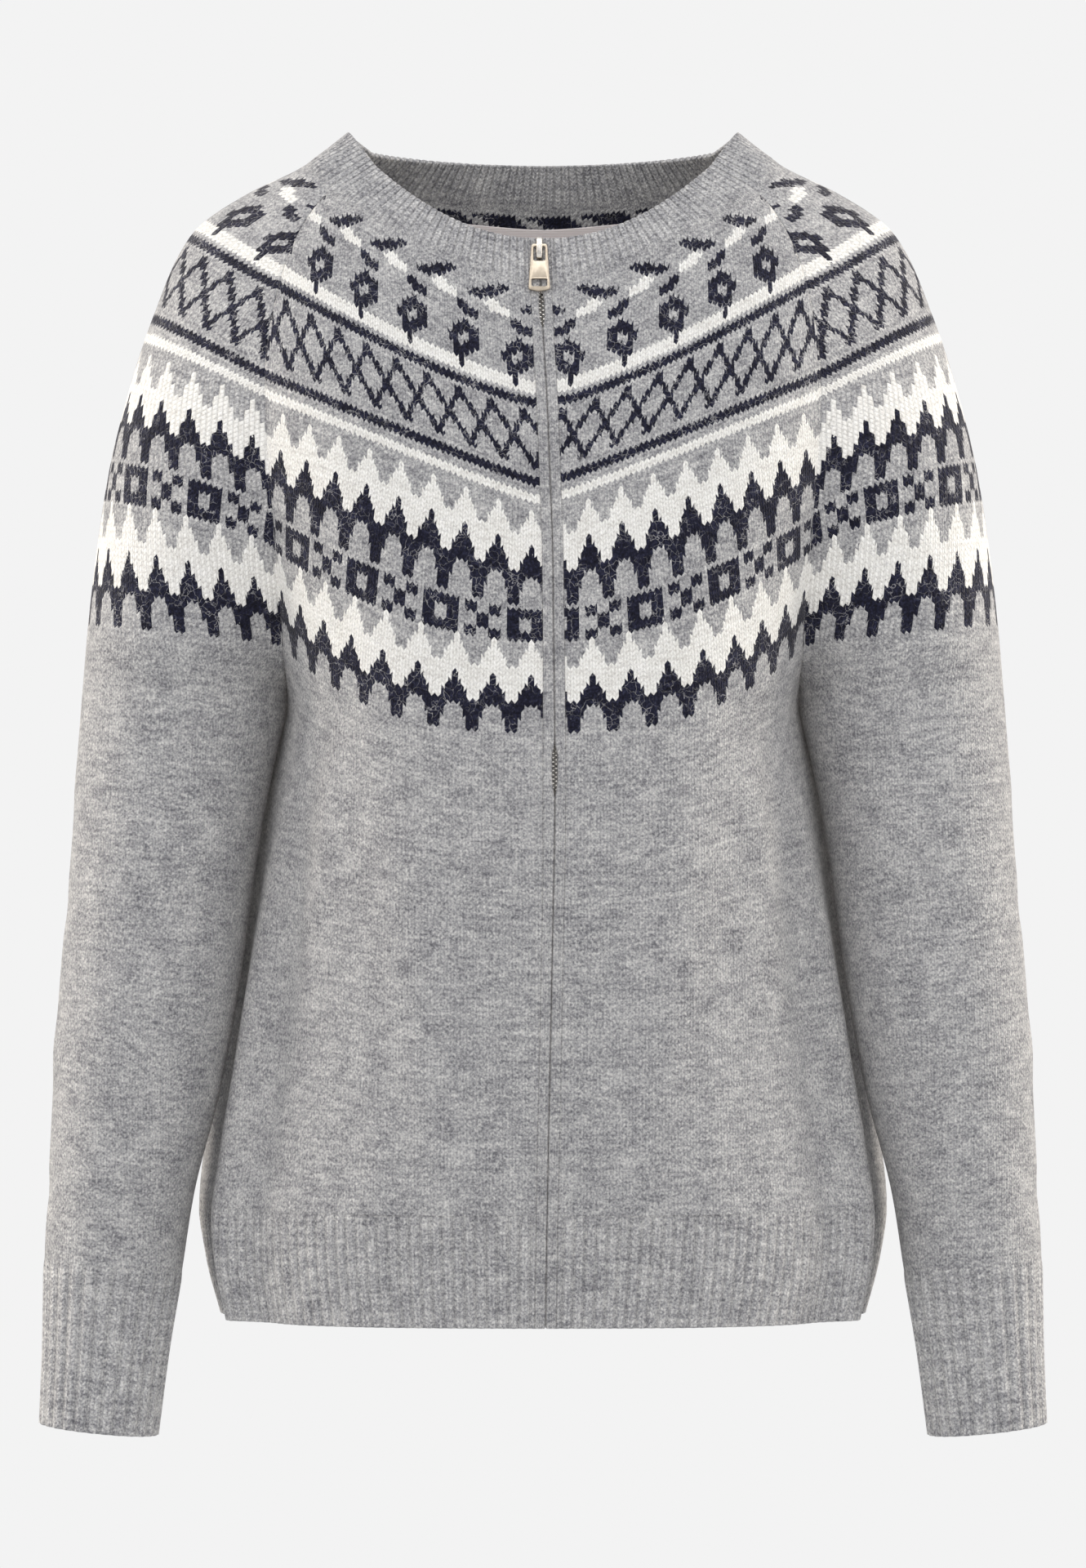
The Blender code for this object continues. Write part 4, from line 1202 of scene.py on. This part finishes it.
def add(tree, kind, sockets=None, **settings):
    """Adds a node with its settings. A socket is given a value, a socket or a whole node."""
    node = tree.nodes.new("ShaderNode" + kind)
    for name, value in settings.items():
        setattr(node, name, value)
    for name, value in (sockets or {}).items():
        if isinstance(value, bpy.types.Node):
            value = value.outputs[0]
        if isinstance(value, bpy.types.NodeSocket):
            tree.links.new(value, node.inputs[name])
        else:
            node.inputs[name].default_value = value
    return node


def new_finish(name):
    """A material with an empty node tree."""
    made = bpy.data.materials.new(name)
    made.use_nodes = True
    made.node_tree.nodes.clear()
    return made, made.node_tree


def stitch_relief(tree, parts):
    """The rise of each stitch: two round legs that lean together, with gaps between them."""
    across = add(tree, "Math", {0: parts.outputs["X"]}, operation="FRACT")
    turned = add(tree, "Math", {0: across, 1: 2.0, 2: -1.0}, operation="MULTIPLY_ADD")
    from_middle = add(tree, "Math", {0: turned}, operation="ABSOLUTE")
    raised = add(tree, "Math", {0: from_middle, 1: DIP, 2: parts.outputs["Y"]},
                 operation="MULTIPLY_ADD")
    sunk = add(tree, "Math", {0: raised, 1: 1.0 - DIP}, operation="ADD")
    row_part = add(tree, "Math", {0: sunk}, operation="FRACT")
    leg_turn = add(tree, "Math", {0: across, 1: 2 * math.pi}, operation="MULTIPLY")
    leg_wave = add(tree, "Math", {0: leg_turn}, operation="SINE")
    leg = add(tree, "Math", {0: leg_wave}, operation="ABSOLUTE")
    loop_turn = add(tree, "Math", {0: row_part, 1: math.pi}, operation="MULTIPLY")
    loop = add(tree, "Math", {0: loop_turn}, operation="SINE")
    stitch = add(tree, "Math", {0: leg, 1: loop}, operation="MULTIPLY")
    return add(tree, "Math", {0: stitch, 1: 0.5}, operation="POWER")


def spun_yarns(tree, place, stitches, clouds):
    """The three yarns, each spun from dark, middle and light fibres."""
    flecks = add(tree, "TexNoise", {"Vector": place, "Scale": FLECKS, "Detail": 3.0,
                                    "Roughness": 0.7})
    stretched = add(tree, "Mapping", {"Vector": stitches, "Scale": STREAKS})
    streaks = add(tree, "TexNoise", {"Vector": stretched, "Scale": 1.0, "Detail": 2.0,
                                     "Roughness": 0.6})
    spun = add(tree, "Math", {0: flecks, 1: FLECK_SHARE, 2: 0.0}, operation="MULTIPLY_ADD")
    spun = add(tree, "Math", {0: streaks, 1: STREAK_SHARE, 2: spun}, operation="MULTIPLY_ADD")
    spun = add(tree, "Math", {0: clouds, 1: CLOUD_SHARE, 2: spun}, operation="MULTIPLY_ADD")
    yarns = []
    for dark, mid, light in YARN_COLOURS:
        ramp = add(tree, "ValToRGB", {"Fac": spun})
        ramp.color_ramp.elements[0].position = DARK_FIBRE
        ramp.color_ramp.elements[0].color = linear(dark)
        ramp.color_ramp.elements[1].position = LIGHT_FIBRE
        ramp.color_ramp.elements[1].color = linear(light)
        ramp.color_ramp.elements.new(0.5).color = linear(mid)
        yarns.append(ramp.outputs["Color"])
    return yarns


def meeting_yarns(tree, stitches, yarns, inside):
    """The yarn of each stitch. Where one yarn meets another, their fibres cross.

    A cell's own yarn counts most, its neighbours' the rest, and a noise that is drawn out
    along the wales decides at the edge. The floats inside have plain edges.
    """
    drawn = add(tree, "Mapping", {"Vector": stitches, "Scale": POINTS})
    points = add(tree, "TexNoise", {"Vector": drawn, "Scale": 1.0, "Detail": 3.0,
                                    "Roughness": 0.65})
    swing = add(tree, "Math", {0: points, 1: EDGE_SWING, 2: -0.5 * EDGE_SWING},
                operation="MULTIPLY_ADD")
    own = add(tree, "Attribute", attribute_name="yarn_behind" if inside else "yarn")
    colour = yarns[int(GREY_YARN)]
    for yarn, near_name, way in ((NAVY_YARN, "navy_near", 1.0), (WHITE_YARN, "white_near", -1.0)):
        lies = add(tree, "Math", {0: own.outputs["Fac"], 1: yarn, 2: 0.5}, operation="COMPARE")
        near = lies
        if not inside:
            near = add(tree, "Attribute", attribute_name=near_name).outputs["Fac"]
        score = add(tree, "Math", {0: lies, 1: OWN_SHARE, 2: 0.0}, operation="MULTIPLY_ADD")
        score = add(tree, "Math", {0: near, 1: 1.0 - OWN_SHARE, 2: score},
                    operation="MULTIPLY_ADD")
        score = add(tree, "Math", {0: swing, 1: way, 2: score}, operation="MULTIPLY_ADD")
        wins = add(tree, "MapRange", {"Value": score, "From Min": 0.45, "From Max": 0.55})
        mixed = add(tree, "Mix", {"Factor": wins, 6: colour, 7: yarns[int(yarn)]},
                    data_type="RGBA")
        colour = mixed.outputs[2]
    return colour


def with_hairs(tree, place, clouds, colour):
    """Loose hairs: thin curled lines in patches, drawn about 0.2 mm thick so that they show."""
    bent = add(tree, "TexNoise", {"Vector": place, "Scale": CURLS, "Detail": 3.0})
    curled = add(tree, "VectorMath", {0: bent.outputs["Color"], 1: (HAIR_BEND,) * 3, 2: place},
                 operation="MULTIPLY_ADD")
    net = add(tree, "TexVoronoi", {"Vector": curled, "Scale": HAIRS}, feature="DISTANCE_TO_EDGE")
    thin = add(tree, "MapRange", {"Value": net, "From Min": 0.0, "From Max": 0.04,
                                  "To Min": 1.0, "To Max": 0.0})
    patches = add(tree, "MapRange", {"Value": clouds, "From Min": 0.42, "From Max": 0.58,
                                     "To Min": 0.0, "To Max": 0.62})
    hairs = add(tree, "Math", {0: thin, 1: patches}, operation="MULTIPLY")
    mixed = add(tree, "Mix", {"Factor": hairs, 6: colour, 7: linear(HAIR_COLOUR)},
                data_type="RGBA")
    return mixed.outputs[2]


def knitted_wool(name, inside, ribbed=False):
    """Melange lambswool in stocking stitch, brushed a little: grey with navy and off-white.

    To the eye it is dull and soft: rows of small Vs with painted shade in the gaps between the
    legs, a speckle from light and dark fibres spun together, colours that run into each other in
    short points along the wales, and loose pale hairs that cross the dark yarn. Inside, the yarns
    of a row that its stitches don't show cross behind them.
    """
    made, tree = new_finish(name)
    place = add(tree, "TexCoord").outputs["Object"]
    stitches = add(tree, "UVMap", uv_map="Stitches")
    parts = add(tree, "SeparateXYZ", {0: stitches})
    clouds = add(tree, "TexNoise", {"Vector": place, "Scale": CLOUDS, "Detail": 4.0,
                                    "Roughness": 0.6})
    height = stitch_relief(tree, parts)
    yarns = spun_yarns(tree, place, stitches, clouds)
    colour = meeting_yarns(tree, stitches, yarns, inside)
    colour = with_hairs(tree, place, clouds, colour)

    # The gaps between the legs are in shade.
    open_gap = add(tree, "MapRange", {"Value": height, "From Min": 0.0, "From Max": 0.75,
                                      "To Min": 0.80, "To Max": 1.03})
    colour = add(tree, "VectorMath", {0: colour, 1: open_gap}, operation="MULTIPLY")
    if ribbed:
        # Every second wale lies back, in the shade of the two beside it.
        rib_turn = add(tree, "Math", {0: parts.outputs["X"], 1: math.pi, 2: -0.5 * math.pi},
                       operation="MULTIPLY_ADD")
        rib = add(tree, "Math", {0: rib_turn}, operation="COSINE")
        low = 0.6 if inside else -0.6
        hollow = add(tree, "MapRange", {"Value": rib, "From Min": low, "From Max": -low,
                                        "To Min": RIB_SHADE, "To Max": 1.04})
        colour = add(tree, "VectorMath", {0: colour, 1: hollow}, operation="MULTIPLY")
    fuzz = add(tree, "TexNoise", {"Vector": place, "Scale": FUZZ, "Detail": 4.0,
                                  "Roughness": 0.75})
    surface = add(tree, "Math", {0: fuzz, 1: 0.6, 2: height}, operation="MULTIPLY_ADD")
    bump = add(tree, "Bump", {"Strength": 0.7, "Distance": 0.5 * MM, "Height": surface})
    rough = add(tree, "MapRange", {"Value": fuzz, "To Min": 0.88, "To Max": 1.0})
    shader = add(tree, "BsdfPrincipled", {
        "Base Color": colour, "Roughness": rough, "Normal": bump, "IOR": 1.45,
        "Specular IOR Level": 0.12, "Sheen Weight": 0.16, "Sheen Roughness": 0.5,
        "Sheen Tint": linear("#f4f1ec")})
    add(tree, "OutputMaterial", {"Surface": shader})
    return made


def woven_tape():
    """Polyester zip tape, woven in twill, matt, dyed grey to suit the wool."""
    made, tree = new_finish("polyester_zip_tape_twill")
    stitches = add(tree, "UVMap", uv_map="Stitches")
    # Twill lines 0.5 mm apart, drawn at 0.7 mm so that they show: a stitch is 2.2 mm here.
    threads = add(tree, "TexWave", {"Vector": stitches, "Scale": 1.4, "Distortion": 0.6},
                  wave_type="BANDS", bands_direction="DIAGONAL")
    tone = add(tree, "ValToRGB", {"Fac": threads.outputs["Fac"]})
    tone.color_ramp.elements[0].color = linear("#55565b")
    tone.color_ramp.elements[1].color = linear("#85868a")
    bump = add(tree, "Bump", {"Strength": 0.7, "Distance": 0.15 * MM,
                              "Height": threads.outputs["Fac"]})
    rough = add(tree, "MapRange", {"Value": threads.outputs["Fac"], "To Min": 0.7, "To Max": 0.9})
    shader = add(tree, "BsdfPrincipled", {"Base Color": tone, "Roughness": rough,
                                          "Normal": bump, "IOR": 1.5, "Sheen Weight": 0.15})
    add(tree, "OutputMaterial", {"Surface": shader})
    return made


def woven_satin():
    """A soft damask label tape, pale pink: fine shining threads run across."""
    made, tree = new_finish("polyester_satin_label")
    place = add(tree, "TexCoord").outputs["Object"]
    # Threads 0.25 mm apart, drawn in ribs of 1.2 mm so that they show.
    threads = add(tree, "TexWave", {"Vector": place, "Scale": 260.0, "Distortion": 1.5,
                                    "Detail": 2.0}, wave_type="BANDS", bands_direction="Z")
    clouds = add(tree, "TexNoise", {"Vector": place, "Scale": 60.0, "Detail": 4.0})
    spread = add(tree, "Math", {0: threads.outputs["Fac"], 1: 0.6}, operation="MULTIPLY")
    spread = add(tree, "Math", {0: clouds, 1: 0.4, 2: spread}, operation="MULTIPLY_ADD")
    tone = add(tree, "ValToRGB", {"Fac": spread})
    tone.color_ramp.elements[0].color = linear("#f7ebea")
    tone.color_ramp.elements[1].color = linear("#fffafa")
    bump = add(tree, "Bump", {"Strength": 0.5, "Distance": 0.1 * MM,
                              "Height": threads.outputs["Fac"]})
    rough = add(tree, "MapRange", {"Value": clouds, "To Min": 0.35, "To Max": 0.55})
    shader = add(tree, "BsdfPrincipled", {"Base Color": tone, "Roughness": rough,
                                          "Normal": bump, "IOR": 1.5, "Sheen Weight": 0.2})
    add(tree, "OutputMaterial", {"Surface": shader})
    return made


def plated_metal(name, dull, bright, rough_low, rough_high, scratch_scale):
    """Nickel plate on zinc: warm grey, with a fine uneven polish and rubbed marks.

    The polish changes every 2.4 mm, and the marks, drawn out down the zip, are 1.1 to 1.7 mm
    apart.
    """
    made, tree = new_finish(name)
    place = add(tree, "TexCoord").outputs["Object"]
    clouds = add(tree, "TexNoise", {"Vector": place, "Scale": 420.0, "Detail": 5.0,
                                    "Roughness": 0.65})
    tone = add(tree, "ValToRGB", {"Fac": clouds})
    tone.color_ramp.elements[0].position = 0.3
    tone.color_ramp.elements[0].color = linear(dull)
    tone.color_ramp.elements[1].position = 0.7
    tone.color_ramp.elements[1].color = linear(bright)
    drawn = add(tree, "Mapping", {"Vector": place, "Scale": (1.0, 1.0, 0.12)})
    marks = add(tree, "TexNoise", {"Vector": drawn, "Scale": scratch_scale, "Detail": 3.0,
                                   "Roughness": 0.7})
    rough = add(tree, "MapRange", {"Value": marks, "From Min": 0.3, "From Max": 0.7,
                                   "To Min": rough_low, "To Max": rough_high})
    surface = add(tree, "Math", {0: clouds, 1: 0.7, 2: marks}, operation="MULTIPLY_ADD")
    bump = add(tree, "Bump", {"Strength": 0.35, "Distance": 0.05 * MM, "Height": surface})
    shader = add(tree, "BsdfPrincipled", {"Base Color": tone, "Roughness": rough,
                                          "Normal": bump, "Metallic": 1.0})
    add(tree, "OutputMaterial", {"Surface": shader})
    return made


def paper_floor():
    """Seamless pale paper, lit evenly, so that it has no edge against the backdrop."""
    made, tree = new_finish("seamless_paper_pale")
    glow = add(tree, "Emission", {"Color": linear(BACKDROP), "Strength": 1.0})
    add(tree, "OutputMaterial", {"Surface": glow})
    return made


def make_stage():
    """A plain pale floor under the hem, and even light from the backdrop all round."""
    mesh = bmesh.new()
    bmesh.ops.create_grid(mesh, x_segments=2, y_segments=2, size=FLOOR_HALF)
    bmesh.ops.translate(mesh, vec=(0.0, 0.0, FLOOR_LEVEL), verts=mesh.verts[:])
    floor = add_piece("floor", mesh)
    floor.data.materials.append(paper_floor())

    world = bpy.data.worlds.new("studio")
    world.use_nodes = True
    bpy.context.scene.world = world
    tree = world.node_tree
    tree.nodes.clear()
    seen = add(tree, "Background", {"Color": linear(BACKDROP), "Strength": 1.0})
    fill = add(tree, "Background", {"Color": linear(FILL_COLOUR), "Strength": FILL_LIGHT})
    ray = add(tree, "LightPath").outputs["Is Camera Ray"]
    both = add(tree, "MixShader", {"Fac": ray, 1: fill, 2: seen})
    add(tree, "OutputWorld", {"Surface": both})


def add_light(name, place, aim, size, power, colour, shadow):
    """A soft box that faces its aim."""
    data = bpy.data.lights.new(name, "AREA")
    data.shape = "RECTANGLE"
    data.size, data.size_y = size
    data.energy = power
    data.color = linear(colour)[:3]
    data.use_shadow = shadow
    light = bpy.data.objects.new(name, data)
    turn = (Vector(aim) - Vector(place)).to_track_quat("-Z", "Y")
    light.matrix_world = Matrix.Translation(place) @ turn.to_matrix().to_4x4()
    bpy.context.scene.collection.objects.link(light)


def make_camera():
    """The photograph's view: level, square on, and far enough off to be nearly flat."""
    data = bpy.data.cameras.new("camera")
    data.lens = CAMERA_LENS
    data.sensor_fit = "VERTICAL"
    data.sensor_height = PHOTO_HEIGHT * MM_PER_PIXEL / CAMERA_DISTANCE * CAMERA_LENS
    data.clip_end = CAMERA_SEES
    camera = bpy.data.objects.new("camera", data)
    place = Vector((0.0, -CAMERA_DISTANCE, CAMERA_HEIGHT)) * MM
    camera.matrix_world = Matrix.Translation(place) @ Matrix.Rotation(math.radians(90), 4, "X")
    bpy.context.scene.collection.objects.link(camera)
    bpy.context.scene.camera = camera


wool = (knitted_wool("lambswool_melange_stocking_stitch", False),
        knitted_wool("lambswool_melange_floats_inside", True))
make_panels(wool)
make_ribs((knitted_wool("lambswool_melange_rib", False, True),
           knitted_wool("lambswool_melange_rib_inside", True, True)))
make_zip_edges(wool, (woven_tape(),))
make_label((woven_satin(),))
make_teeth(plated_metal("nickel_zip_teeth", "#c9c5bd", "#f2efe9", 0.2, 0.35, 900.0))
make_retainer(plated_metal("nickel_stamped_box", "#8d877e", "#b5ada1", 0.28, 0.45, 700.0))
make_slider(plated_metal("nickel_cast_slider", "#c9c4bb", "#efeae2", 0.16, 0.3, 600.0))
make_pull(plated_metal("nickel_cast_pull", "#b5a997", "#cbbfae", 0.30, 0.42, 600.0))

make_stage()
make_camera()
for light in LIGHTS:
    add_light(*light)
bpy.context.scene.view_settings.view_transform = "Standard"
